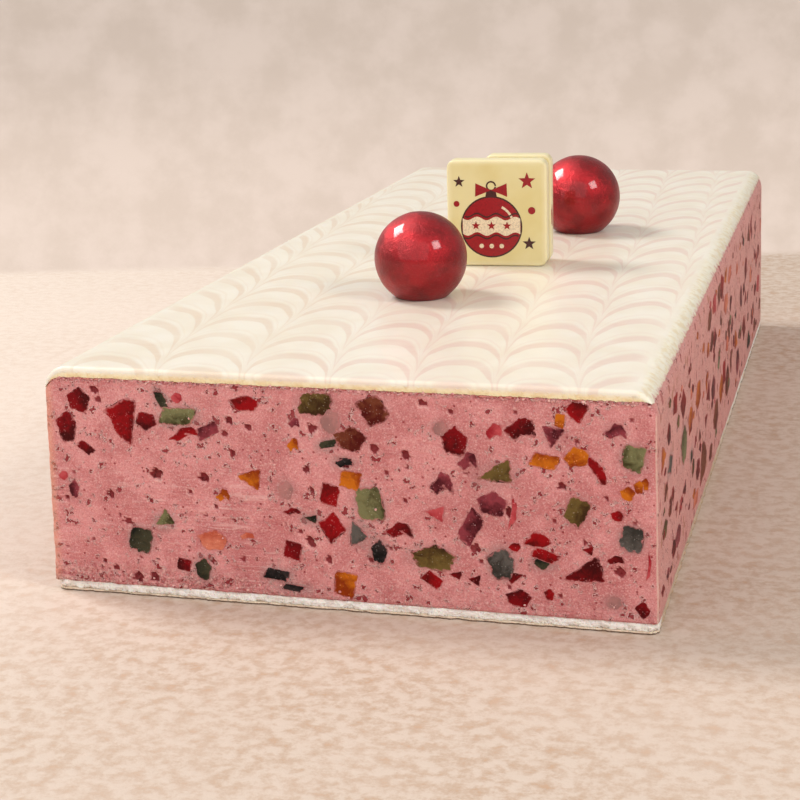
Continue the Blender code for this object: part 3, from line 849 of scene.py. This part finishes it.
def scattered(count, half_length, low, high, draw, taken):
    """Places on a side, largest first, each clear of those before it and of those taken."""
    placed = list(taken)
    tries = 0
    while len(placed) < count and tries < MOST_TRIES:
        tries += 1
        size = 6.8 - 4.4 * len(placed) / count
        across = draw.uniform(-half_length, half_length)
        height = draw.uniform(low + size * 0.5, high - size * 0.5)
        if all(hypot(across - a, height - h) > (size + s) * FRUIT_SPREAD for a, h, s in placed):
            placed.append((across, height, size))
    return placed[len(taken):]


def lay_fruit():
    """Every piece of fruit as its face and its entry, those of the lists first."""
    draw = random.Random(23)
    places = random.Random(17)
    cuts = ("block", "kite", "wedge", "slab", "gem", "gem", "dome", "scrap", "round")
    fruit = [("front", entry) for entry in FRONT_FRUIT] + [("right", entry) for entry in RIGHT_FRUIT]
    low = NOUGAT_BOTTOM / MM + 0.8
    high = (NOUGAT_TOP - NOUGAT_ROUND) / MM
    kinds = (list(FRUIT_SHARES), list(FRUIT_SHARES.values()))
    placed = [(across, height, max(wide, tall)) for _, _, across, height, wide, tall, _ in RIGHT_FRUIT]
    for face, count in FRUIT_COUNTS.items():
        taken = placed if face == "right" else []
        for across, height, size in scattered(count, REACHES[face], low, high, places, taken):
            shape = places.uniform(0.65, 1)
            turn = places.uniform(0, 180)
            kind = draw.choices(*kinds)[0]
            fruit.append((face, (kind, draw.choice(cuts), across, height, size, size * shape, turn)))
    for face in ("right", "left"):
        reach = REACHES[face]
        for _ in range(SMALL_FRUIT_COUNT):
            kind = draw.choices(*kinds)[0]
            size = draw.uniform(1.3, 2.9)
            place = (draw.uniform(-reach, reach), draw.uniform(low + 1, high))
            cut = draw.choice(cuts)
            tall = size * draw.uniform(0.6, 1)
            fruit.append((face, (kind, cut, *place, size, tall, draw.uniform(-25, 25))))
    return fruit


def round_fruit(points, tree, fruit):
    """How much each point is under or beside fruit, and how grey a halo it lies in."""
    beside = np.zeros(len(points))
    stain = np.zeros(len(points))
    for face, (kind, _, across, height, wide, tall, turn) in fruit:
        _, right, out = FACES[face]
        centre = on_face(face, across, height)
        grey = FRUIT_COLOURS[kind][2]
        angle = radians(turn)
        for place, index, _ in tree.find_range(centre, (max(wide, tall) / 2 + 1) * SMEAR[face] * MM):
            step = (np.array(place) - centre) / MM
            if abs(step @ np.array(out)) > 1.5:
                continue
            along_face = step @ np.array(right) / SMEAR[face]
            side = along_face * cos(angle) + step[2] * sin(angle)
            up = step[2] * cos(angle) - along_face * sin(angle)
            beyond = (hypot(side / wide, up / tall) * 2 - 1) * min(wide, tall) / 2
            beside[index] = max(beside[index], min(1, 1.2 - beyond / 0.5))
            stain[index] = max(stain[index], grey * exp(-max(beyond, 0) / 0.55))
    return np.clip(beside, 0, 1), stain


def lay_pits(draw, beside, tree):
    """Pits as places, sizes and depths: the largest listed, the others scattered clear of fruit."""
    pits = []
    for across, height, wide, deep in FRONT_PITS:
        pits.append((on_face("front", across, height), wide * MM / 2, deep * MM))
    for face, count in PIT_COUNTS.items():
        reach = REACHES[face]
        for _ in range(count):
            place = on_face(face, draw.uniform(-reach, reach), draw.uniform(*PIT_HEIGHTS))
            size = (0.35 + 0.6 * draw.random() ** 2) * MM
            _, nearest, _ = tree.find(place)
            if beside[nearest] < 0.2:
                pits.append((place, size, size * draw.uniform(0.5, 1)))
    return pits


def press_pits(points, tree, pits):
    """How far each point sinks in uneven pits, and how far it rises on their rims."""
    sink = np.zeros(len(points))
    rim = np.zeros(len(points))
    for centre, size, depth in pits:
        for place, index, distance in tree.find_range(centre, size * 1.9):
            uneven = 1 + 0.5 * noise.noise(Vector(place) / (0.8 * MM))
            share = distance / (size * uneven)
            if share < 1:
                sink[index] = max(sink[index], depth * min(1, 1.4 * sqrt(1 - share ** 2)))
            rim[index] = max(rim[index], 1 - abs(share - 1.12) / 0.3)
    return sink, rim


def make_nougat_body(fruit):
    """A block whose upright faces are cut by a knife: smooth, streaked, pitted and crumbly at the rims."""
    low = (-WIDTH / 2, -LENGTH / 2, NOUGAT_BOTTOM)
    high = (WIDTH / 2, LENGTH / 2, NOUGAT_TOP)
    body = add_grid_box("nougat_body", low, high, NOUGAT_PARTS)
    points = points_of(body)
    front = points[:, 1] < -LENGTH / 2 + NEAR
    upright = outward(points, WIDTH / 2, NOUGAT_CORNER)
    points = round_upright_edges(points, NOUGAT_CORNER)
    tree = tree_of(points)
    beside, stain = round_fruit(points, tree, fruit)
    sink, rim = press_pits(points, tree, lay_pits(random.Random(7), beside, tree))

    x, _, z = points.T / MM
    large = wander(points, 9 * MM, 2) * 0.12
    medium = wander(points, 2 * MM, 3, 7) * 0.07
    lower_left = np.clip((16 - x) / 30, 0.2, 1) * np.clip((25 - z) / 8, 0.15, 1)
    drag = wander(points, 1.2 * MM, 2, 13, (9, 9, 1)) * 0.12 * lower_left
    foot = np.clip((8 - z) / 6, 0, 1) * np.clip((10 - x) / 30, 0.35, 1)
    crumble = wander(points, 1.2 * MM, 3, 55) * 0.3 * foot
    ragged = wander(points, 1 * MM, 3, 91) * 0.3 * np.clip((z - 38.4) / 1.2, 0, 1)
    flatness = np.where(front, 1, 0.6)
    rise = large * 0.6 + (medium + drag) * flatness + (crumble + ragged) * front
    under_chocolate = np.where(np.abs(upright[:, 1]) > 0.9, 0, np.clip((z - 36.5) / 1.5, 0, 1))
    rise = np.minimum(rise, 0.25) * (1 - beside) * (1 - under_chocolate)
    store(body, "hollow", np.clip(sink / (0.6 * MM) - np.where(sink > 0, 0, np.maximum(rim, 0)) * 0.8, -1, 1))
    store(body, "stain", stain)
    rise = (rise + np.maximum(rim, 0) * 0.06 * (1 - beside)) * MM - sink
    set_points(body, settle(round_shoulders(points) + upright * rise[:, None]))
    smooth(body)
    return body


def chip_master(outline, seed):
    """A flat piece of fruit of unit width and height, its front face towards -Y."""
    draw = random.Random(seed)
    outline = [(across + draw.uniform(-0.05, 0.05), up + draw.uniform(-0.05, 0.05)) for across, up in outline]
    chip = add_prism("chip", outline, -0.5, 1, 1)
    pick("edges", lambda edge: runs_along(edge, 1))
    bpy.ops.mesh.bevel(offset=0.09, segments=2, affect="EDGES")
    pick("edges", lambda edge: all(v.co.y < -0.49 for v in edge.verts))
    bpy.ops.mesh.subdivide(number_cuts=2)
    pick("faces", lambda face: face.normal.y < -0.9)
    bpy.ops.mesh.poke()
    bpy.ops.mesh.subdivide(number_cuts=2)
    done()
    points = points_of(chip)
    cap = points[:, 1] < -0.49
    spread = np.linalg.norm(points[:, [0, 2]], axis=1)
    wavy = wander(points * np.array([1, 0, 1]), 0.22, 4, seed) * 0.06
    store(chip, "rim", np.where(cap, rim_share(chip, points), 1))
    points[:, [0, 2]] *= (1 + wavy * cap / np.maximum(spread, 0.15))[:, None]
    set_points(chip, points)
    smooth(chip, 40)
    return chip


def rim_share(chip, points):
    """1 on the outline of a chip's front face, falling to 0 well inside it."""
    caps = [face for face in chip.data.polygons if face.normal.y < -0.9]
    uses = {}
    for face in caps:
        for key in face.edge_keys:
            uses[key] = uses.get(key, 0) + 1
    outline = [key for key in uses if uses[key] == 1]
    flat = points[:, [0, 2]]
    nearest = np.ones(len(points))
    for first, second in outline:
        start, step = flat[first], flat[second] - flat[first]
        share = np.clip((flat - start) @ step / max(step @ step, 1e-12), 0, 1)
        nearest = np.minimum(nearest, np.linalg.norm(flat - start - share[:, None] * step, axis=1))
    return np.clip(1 - nearest / 0.2, 0, 1)


def chip_copy(masters, face, entry, draw):
    """One piece of fruit in its place, its front face a hair proud and its back sunk in the nougat."""
    kind, shape, across, height, wide, tall, turn = entry
    piece = copied(masters[shape][draw.randrange(len(masters[shape]))], "fruit_" + kind)
    points = points_of(piece)
    flat = points[:, [0, 2]] * np.array([wide, tall])
    angle = radians(turn)
    across_flat = flat[:, 0] * cos(angle) - flat[:, 1] * sin(angle)
    up_flat = flat[:, 0] * sin(angle) + flat[:, 1] * cos(angle)
    _, right, out = FACES[face]
    placed = on_face(face, across, height) + np.outer(across_flat * MM * SMEAR[face], right)
    placed[:, 2] += up_flat * MM * min(SMEAR[face], 1.1)
    cap = points[:, 1] < -0.49
    proud = draw.uniform(0.03, 0.08) + wander(placed, 1.2 * MM, 2, 4) * 0.04
    set_points(piece, settle(placed) + np.outer(np.where(cap, proud, -CHIP_DEEP) * MM, out))
    light_side = draw.uniform(0, 2 * pi)
    towards = points[:, 0] * cos(light_side) + points[:, 2] * sin(light_side)
    store(piece, "shade", draw.uniform(0.3, 0.7) + towards * 0.9)
    return piece


def make_fruit(fruit):
    masters = {
        shape: [chip_master(outline, 10 * number + i) for i in range(3)]
        for number, (shape, outline) in enumerate(SHAPES.items())
    }
    draw = random.Random(29)
    made = {kind: [] for kind in FRUIT_COLOURS}
    for face, entry in fruit:
        made[entry[0]].append(chip_copy(masters, face, entry, draw))
    for group in masters.values():
        remove(group)
    for kind, chips in made.items():
        dark, bright, _ = FRUIT_COLOURS[kind]
        dress(join(chips, "fruit_" + kind), candied(kind, dark, bright), "nougat", "nougat")


def make_crumbs():
    """Crumbs along the top and bottom of the cut end, and some on its face."""
    draw = random.Random(3)
    masters = []
    for seed in range(4):
        deselect()
        bpy.ops.mesh.primitive_ico_sphere_add(subdivisions=2, radius=1)
        crumb = added("crumb")
        points = points_of(crumb)
        set_points(crumb, points * (1 + 0.35 * wander(points, 0.9, 2, 10 * seed))[:, None])
        masters.append(crumb)
    crumbs = []
    for count, low, high in CRUMB_ROWS:
        for _ in range(count):
            across = draw.uniform(-CRUMB_REACH, CRUMB_REACH)
            if high < 6 and draw.random() < 0.5:
                across = draw.uniform(-CRUMB_REACH, 0)
            size = (0.1 + 0.2 * draw.random() ** 2) * MM
            piece = copied(draw.choice(masters), "crumb")
            turn = Matrix.Rotation(draw.uniform(0, 6), 4, "Z") @ Matrix.Rotation(draw.uniform(0, 3), 4, "X")
            stretch = Matrix.Diagonal((size * draw.uniform(0.7, 1.4), size, size * draw.uniform(0.6, 1), 1))
            place = settle(on_face("front", across, draw.uniform(low, high))[None])[0]
            piece.data.transform(Matrix.Translation(place) @ turn @ stretch)
            crumbs.append(piece)
    remove(masters)
    piece = join(crumbs, "nougat_crumbs")
    smooth(piece)
    return piece


def crumb_finish():
    finish = Finish("pale_crumbs", Subsurface_Weight=0.2, Subsurface_Scale=0.4 * MM)
    tone = finish.grain(1.6, 2)
    fine = finish.grain(0.2, 3, 0.6)
    base = tone.shades(0.4, 0.6, (0.58, 0.22, 0.22), (0.82, 0.48, 0.45))
    return finish.with_look(base, 0.45 + fine * 0.2, fine, 0.1)


def chocolate_places(steps, columns_top):
    """Places across the chocolate: the side or share of the flat top, and how far up the rounding."""
    right = [(1, step / steps) for step in range(steps + 1)]
    left = [(-1, share) for _, share in right]
    top = [(2 * (step + 1) / (columns_top + 1) - 1, 1) for step in range(columns_top)]
    return left + top + right[::-1]


def row_places(rows):
    """Places along the bar for the rows of the chocolate, close together over the rounded ends."""
    start = [-LENGTH / 2 + LIP * share for share in (0, 0.02, 0.08, 0.18, 0.34, 0.56, 0.78, 1)]
    inner = LENGTH / 2 - LIP
    middle = [-inner + 2 * inner * step / rows for step in range(1, rows)]
    return start + middle + [-place for place in start[::-1]]


def make_chocolate_shell():
    """A sheet over the top, granular where it thins out round the long edges."""
    section = np.array(chocolate_places(ROUND_PARTS, FLAT_PARTS))
    rows = np.array(row_places(ROW_PARTS))
    deselect()
    bpy.ops.mesh.primitive_grid_add(x_subdivisions=len(section) - 1, y_subdivisions=len(rows) - 1, size=1)
    shell = added("chocolate_shell")
    points = points_of(shell)
    sides, up = section[np.rint((points[:, 0] + 0.5) * (len(section) - 1)).astype(int)].T
    y = rows[np.rint((points[:, 1] + 0.5) * (len(rows) - 1)).astype(int)]
    edge_end = CHOC_END + 0.12 * wander(np.stack([sides * 9 * MM, y, y * 0], axis=1), 1.8 * MM, 3, 8)
    edge_end = edge_end * (1 - drawn_down(sides, y))
    turn = edge_end + (pi / 2 - edge_end) * up
    from_end = LENGTH / 2 - np.abs(y)
    lip = LIP - np.sqrt(np.maximum(LIP ** 2 - np.maximum(LIP - from_end, 0) ** 2, 0))
    thick = CHOC_FEATHER + (CHOC_DEEP - CHOC_FEATHER) * np.sin(pi / 2 * up)
    thick = np.maximum(thick, 0.8 * MM * drawn_down(sides, y) * np.clip(up * 5, 0.25, 1))
    radius = CHOC_ROUND - np.minimum(lip * (0.35 + 0.65 * np.sin(turn)), 0.6 * thick)
    flat = half_width(y, HEIGHT) - CHOC_ROUND
    way = np.stack([sides * np.cos(turn), y * 0, np.sin(turn)], axis=1)
    centre = np.stack([sides * flat, y, top_height(y) - CHOC_ROUND], axis=1)
    points = centre + way * radius[:, None]
    under_side = centre + way * (CHOC_ROUND - thick)[:, None]
    granular = np.clip((1 - up) * 2.2, 0, 1) * np.clip(up * 5, 0.25, 1) * np.clip(from_end / (2 * MM), 0.3, 1)
    bumps = np.clip(wander(points, 1.5 * MM, 3, 3), -0.4, 1) * 0.1 * MM * granular
    swell = (wander(points, 30 * MM, 1, 5) - 0.6) * 0.1 * MM * up
    set_points(shell, points + way * (bumps + swell)[:, None])
    edit(shell)
    face_outwards()
    done()
    # An open sheet has no inside, so that may have turned it face down
    if sum(face.normal.z for face in shell.data.polygons) < 0:
        shell.data.flip_normals()
    store(shell, "edge", (1 - up) * (1 - drawn_down(sides, y)))
    solidify = shell.modifiers.new("Thickness", "SOLIDIFY")
    solidify.thickness = CHOC_DEEP
    solidify.offset = -1
    bpy.ops.object.modifier_apply(modifier=solidify.name)
    outer = points_of(shell)[:len(under_side)]
    set_points(shell, np.concatenate([outer, under_side]))
    store(shell, "under", np.concatenate([thick * 0, CHOC_DEEP + thick * 0]) / MM)
    store(shell, "section", np.concatenate([thick * 0, thick]) / MM)

    end = LENGTH / 2 - NEAR
    edit(shell)
    pick("edges", lambda edge: all(abs(v.co.y) > end for v in edge.verts) and not edge.is_boundary
         and len(edge.link_faces) == 2 and all(abs(f.normal.y) > 0.9 for f in edge.link_faces))
    bpy.ops.mesh.subdivide(number_cuts=5)
    done()

    points = points_of(shell)
    at_end = np.abs(points[:, 1]) > end
    depth = np.array([value.value for value in shell.data.attributes["section"].data]) * MM
    torn = (wander(points, 0.9 * MM, 3, 77) * 0.18 - 0.02) * MM
    points[:, 1] += np.sign(points[:, 1]) * np.where(at_end & (depth > LIP * 0.9), torn, 0)
    set_points(shell, points)
    store(shell, "cut", np.where(at_end, np.clip((depth - LIP * 0.55) / (0.3 * MM), 0, 1), 0))
    smooth(shell, 60)
    return shell


def make_sheet(name, low, high, seed):
    """One sheet of wafer with a torn, porous edge."""
    half = (WIDTH - WAFER_INSET) / 2
    low_corner, high_corner = (-half, -LENGTH / 2, low), (half, LENGTH / 2, high)
    sheet = add_grid_box(name, low_corner, high_corner, WAFER_PARTS, WAFER_CORNER)
    points = points_of(sheet)
    away = outward(points, half, WAFER_CORNER)[:, :2]
    middle = (low + high) / 2
    belly = 1 - (np.abs(points[:, 2] - middle) / (high - low) * 2) ** 2
    ragged = wander(points, 2.4 * MM, 4, seed) * 0.5 + wander(points, 0.7 * MM, 3, seed + 9) * 0.4
    wear = np.clip(0.4 + ragged * 1.2, 0, 1) * WAFER_RAGGED * 1.9 - belly * 0.2 * MM
    points[:, :2] -= away * np.maximum(wear, 0)[:, None]
    lift = wander(points, 3 * MM, 2, seed + 20) * 0.07 * MM
    inner = (points[:, 2] > low + NEAR) | (low > NEAR)
    points[:, 2] += np.where(inner & (points[:, 2] < high - NEAR), lift, 0)
    points[:, 0] *= half_width(points[:, 1], 0) / (WIDTH / 2)
    points[:, 0] += WAFER_INSET / 2
    set_points(sheet, points)
    smooth(sheet, 50)
    return sheet


def on_top(x, y, turn=0):
    """A frame that stands on the chocolate, a gap above its solid, and follows its slope."""
    slope = Matrix.Rotation(atan2(RISE, LENGTH), 4, "X")
    return Matrix.Translation((x, y, top_height(y) + GAP)) @ slope @ Matrix.Rotation(turn, 4, "Z")


def make_pearl(name):
    """A sugar pearl with a flat foot."""
    x, y, radius = PEARLS[name]
    deselect()
    bpy.ops.mesh.primitive_uv_sphere_add(segments=72, ring_count=44, radius=radius)
    pearl = added(name.replace("pearl_", "sugar_pearl_"))
    foot = radius * (1 - PEARL_FOOT)
    edit(pearl)
    bpy.ops.mesh.select_all(action="SELECT")
    bpy.ops.mesh.bisect(plane_co=(0, 0, -foot), plane_no=(0, 0, -1), use_fill=True, clear_outer=True)
    pick("edges", lambda edge: all(abs(v.co.z + foot) < NEAR for v in edge.verts))
    bpy.ops.mesh.bevel(offset=0.35 * MM, segments=4, affect="EDGES")
    done()
    points = points_of(pearl)
    out = points / np.linalg.norm(points, axis=1)[:, None]
    uneven = wander(points, 5 * MM, 2, 2) * 0.05 * MM
    body = points[:, 2] > -foot + 0.5 * MM
    points += out * np.where(body, uneven - 0.05 * MM, 0)[:, None]
    set_points(pearl, points)
    pearl.data.transform(on_top(x, y) @ Matrix.Translation((0, 0, foot - GAP)))
    smooth(pearl, 60)
    return pearl


def plaque_place(name):
    x, y, _, _, _ = PLAQUES[name]
    return on_top(x, y, PLAQUE_TURN) @ Matrix.Translation((0, 0, -GAP))


def make_plaque(name):
    """A moulded tile with rounded corners and softened rims."""
    _, _, wide, tall, thick = PLAQUES[name]
    plaque = add_box(name.replace("plaque_", "tile_"), (-wide / 2, 0, 0), (wide / 2, thick, tall))
    edit(plaque)
    pick("edges", lambda edge: runs_along(edge, 1))
    bpy.ops.mesh.bevel(offset=PLAQUE_CORNER, segments=8, affect="EDGES")
    pick("faces", lambda face: abs(face.normal.y) > 0.9)
    bpy.ops.mesh.inset(thickness=PLAQUE_EDGE, depth=0)
    bpy.ops.mesh.inset(thickness=PLAQUE_EDGE * 0.5, depth=0)
    pick("edges", lambda edge: all(v.co.y < NEAR or v.co.y > thick - NEAR for v in edge.verts)
         and any(abs(f.normal.y) < 0.5 for f in edge.link_faces) and not runs_along(edge, 1))
    bpy.ops.mesh.bevel(offset=PLAQUE_EDGE * 0.6, segments=4, affect="EDGES")
    done()
    points = points_of(plaque)
    to_side = wide / 2 - np.abs(points[:, 0])
    to_top = np.minimum(points[:, 2], tall - points[:, 2])
    nearest = np.minimum(to_side, to_top)
    store(plaque, "rim", np.clip(1.3 - nearest / PLAQUE_EDGE, 0, 1))
    plaque.data.transform(plaque_place(name))
    smooth(plaque, 35)
    return plaque


def add_patch(outline, proud, sunk=0.2):
    """A flat printed patch, a little proud of a tile's front face and sunk in it, in millimetres."""
    patch = add_prism("patch", outline, sunk, -sunk - proud, MM)
    done()
    return patch


def ring(x, z, radius, count=48, start=0, end=360):
    """Points of a round outline, or of a piece of one."""
    steps = count if end - start >= 360 else count + 1
    angles = [radians(start + (end - start) * step / count) for step in range(steps)]
    return [(x + radius * cos(angle), z + radius * sin(angle)) for angle in angles]


def star(x, z, radius):
    points = []
    for step in range(10):
        reach = radius if step % 2 == 0 else radius * 0.42
        angle = radians(90 + 36 * step)
        points.append((x + reach * cos(angle), z + reach * sin(angle)))
    return points


def arc_band(x, z, radius, wide, start, end, count=24):
    """A curved line of a width, as an outline."""
    outer = ring(x, z, radius + wide / 2, count, start, end)
    inner = ring(x, z, radius - wide / 2, count, start, end)
    return outer + inner[::-1]


# The printed ball: its middle and radius on the front tile, in millimetres from the tile's middle and foot
BALL_X = -1.2
BALL_Z = 8.6
BALL = 6.4
LINE = 0.34


def band(height, wide, bend):
    """A wavy band across the ball, as an outline."""
    half = sqrt(BALL ** 2 - height ** 2) - 0.1
    steps = 28
    upper = []
    lower = []
    for step in range(steps + 1):
        across = half * (2 * step / steps - 1)
        middle = BALL_Z + height + bend * sin(across * 1.5)
        upper.append((BALL_X + across, middle + wide / 2))
        lower.append((BALL_X + across, middle - wide / 2))
    return upper + lower[::-1]


def make_prints():
    """A generic hanging ball, a bow, stars and dots, printed on the front tile."""
    cap = BALL_Z + BALL
    brown = [
        (ring(BALL_X, BALL_Z, BALL + LINE), 0.03),
        (arc_band(BALL_X, cap + 2.5, 0.95, LINE, 0, 350), 0.03),
        ([(BALL_X - 1.3, cap - 0.1), (BALL_X + 1.3, cap - 0.1), (BALL_X + 1, cap + 1.5),
                   (BALL_X - 1, cap + 1.5)], 0.045),
        (band(2.55, LINE, 0.4), 0.09),
        (band(-2.2, LINE, 0.4), 0.09),
        (star(7, 5, 1.5), 0.03),
        (star(-8.2, 18.4, 1.3), 0.03),
    ]
    red = [
        (ring(BALL_X, BALL_Z, BALL), 0.06),
        (star(6.6, 18.6, 1.9), 0.03),
        (ring(7.6, 12.2, 0.8, 24), 0.03),
        (ring(-8.8, 13.6, 0.65, 24), 0.03),
        ([(BALL_X, cap + 1.6), (BALL_X + 3.4, cap + 3.1), (BALL_X + 3.5, cap + 0.2)], 0.05),
        ([(BALL_X, cap + 1.6), (BALL_X - 3.5, cap + 0.2), (BALL_X - 3.4, cap + 3.1)], 0.05),
    ]
    cream = [
        (band(0.15, 3.4, 0.4), 0.08),
        (arc_band(BALL_X, BALL_Z, 4.9, 0.5, 25, 62), 0.08),
    ]
    cream += [(ring(BALL_X + x, BALL_Z - 4.2, 0.5, 16), 0.08) for x in (-2.2, 0, 2.2)]
    red += [(star(BALL_X + x, BALL_Z + 0.25, 1), 0.1) for x in (-3.4, 0, 3.4)]
    place = plaque_place("plaque_front")
    for name, patches, tint in (
        ("brown", brown, (0.06, 0.01, 0.007)),
        ("red", red, (0.34, 0.001, 0.006)),
        ("cream", cream, (0.86, 0.7, 0.48)),
    ):
        piece = join([add_patch(*patch) for patch in patches], "print_" + name)
        piece.data.transform(place)
        smooth(piece, 30)
        dress(piece, print_finish(name, *tint), "plaque_chocolate", "plaque_front")


def make_side_mark():
    """A small printed mark on the back tile's right side."""
    _, _, wide, _, thick = PLAQUES["plaque_back"]
    mark = add_patch([(-0.7, 8.4), (0.5, 7.6), (0.9, 10.2), (0.2, 12.6), (-0.8, 11.4)], 0.05)
    side = Matrix.Translation((wide / 2, thick * 0.3, 0)) @ Matrix.Rotation(radians(90), 4, "Z")
    mark.data.transform(plaque_place("plaque_back") @ side)
    smooth(mark, 30)
    mark.name = "print_side"
    dress(mark, print_finish("side", 0.36, 0.01, 0.012), "plaque_chocolate", "plaque_back")


def make_stage():
    deselect()
    bpy.ops.mesh.primitive_grid_add(x_subdivisions=4, y_subdivisions=4, size=8, location=(0, 2, 0))
    floor = added("floor")
    floor.data.materials.append(floor_finish().material)

    world = bpy.data.worlds.new("studio")
    world.use_nodes = True
    room = world.node_tree.nodes["Background"].inputs
    room["Color"].default_value = colour(*ROOM_TINT)
    room["Strength"].default_value = ROOM_STRENGTH
    bpy.context.scene.world = world
    for lamp in LAMPS:
        add_lamp(*lamp)


def add_lamp(name, place, power, size, tint):
    data = bpy.data.lights.new(name, "AREA")
    data.energy = power
    data.color = tint
    data.shape = "RECTANGLE"
    data.size, data.size_y = size
    lamp = bpy.data.objects.new(name, data)
    bpy.context.scene.collection.objects.link(lamp)
    lamp.location = place
    lamp.rotation_euler = (Vector((0, -0.02, 0.02)) - lamp.location).to_track_quat("-Z", "Y").to_euler()
    return lamp


def add_cards(pearls):
    """Lamps that only the pearls' shine takes up."""
    shiny = bpy.data.collections.new("shiny")
    for pearl in pearls:
        shiny.objects.link(pearl)
    for card in CARDS:
        lamp = add_lamp(*card)
        lamp.visible_diffuse = False
        lamp.light_linking.receiver_collection = shiny


def make_camera():
    data = bpy.data.cameras.new("camera")
    data.lens = CAMERA_LENS
    data.sensor_width = CAMERA_SENSOR
    data.clip_start = 0.02
    data.clip_end = 20
    camera = bpy.data.objects.new("camera", data)
    bpy.context.scene.collection.objects.link(camera)
    turn = Matrix.Rotation(CAMERA_YAW, 4, "Z") @ Matrix.Rotation(pi / 2 - CAMERA_DOWN, 4, "X")
    camera.matrix_world = Matrix.Translation(CAMERA_PLACE) @ turn @ Matrix.Rotation(CAMERA_ROLL, 4, "Z")
    bpy.context.scene.camera = camera


def main():
    bpy.context.scene.view_settings.view_transform = "Standard"
    make_camera()
    make_stage()
    fruit = lay_fruit()
    dress(make_nougat_body(fruit), nougat_finish(), "nougat", "nougat")
    make_fruit(fruit)
    dress(make_crumbs(), crumb_finish(), "nougat", "nougat")
    dress(make_chocolate_shell(), chocolate_finish(), "white_chocolate", "chocolate_top")
    wafer = wafer_finish()
    lower = make_sheet("wafer_sheet_lower", 0, SHEET_LOW, 5)
    upper = make_sheet("wafer_sheet_upper", SHEET_LOW + SHEET_APART, NOUGAT_BOTTOM, 6)
    dress(lower, wafer, "wafer", "wafer_lower")
    dress(upper, wafer, "wafer", "wafer_upper")
    pearl = pearl_finish()
    pearls = [make_pearl(name) for name in PEARLS]
    for piece, name in zip(pearls, PEARLS):
        dress(piece, pearl, "red_pearl", name)
    add_cards(pearls)
    plaque = plaque_finish()
    for name in PLAQUES:
        dress(make_plaque(name), plaque, "plaque_chocolate", name)
    make_prints()
    make_side_mark()


main()
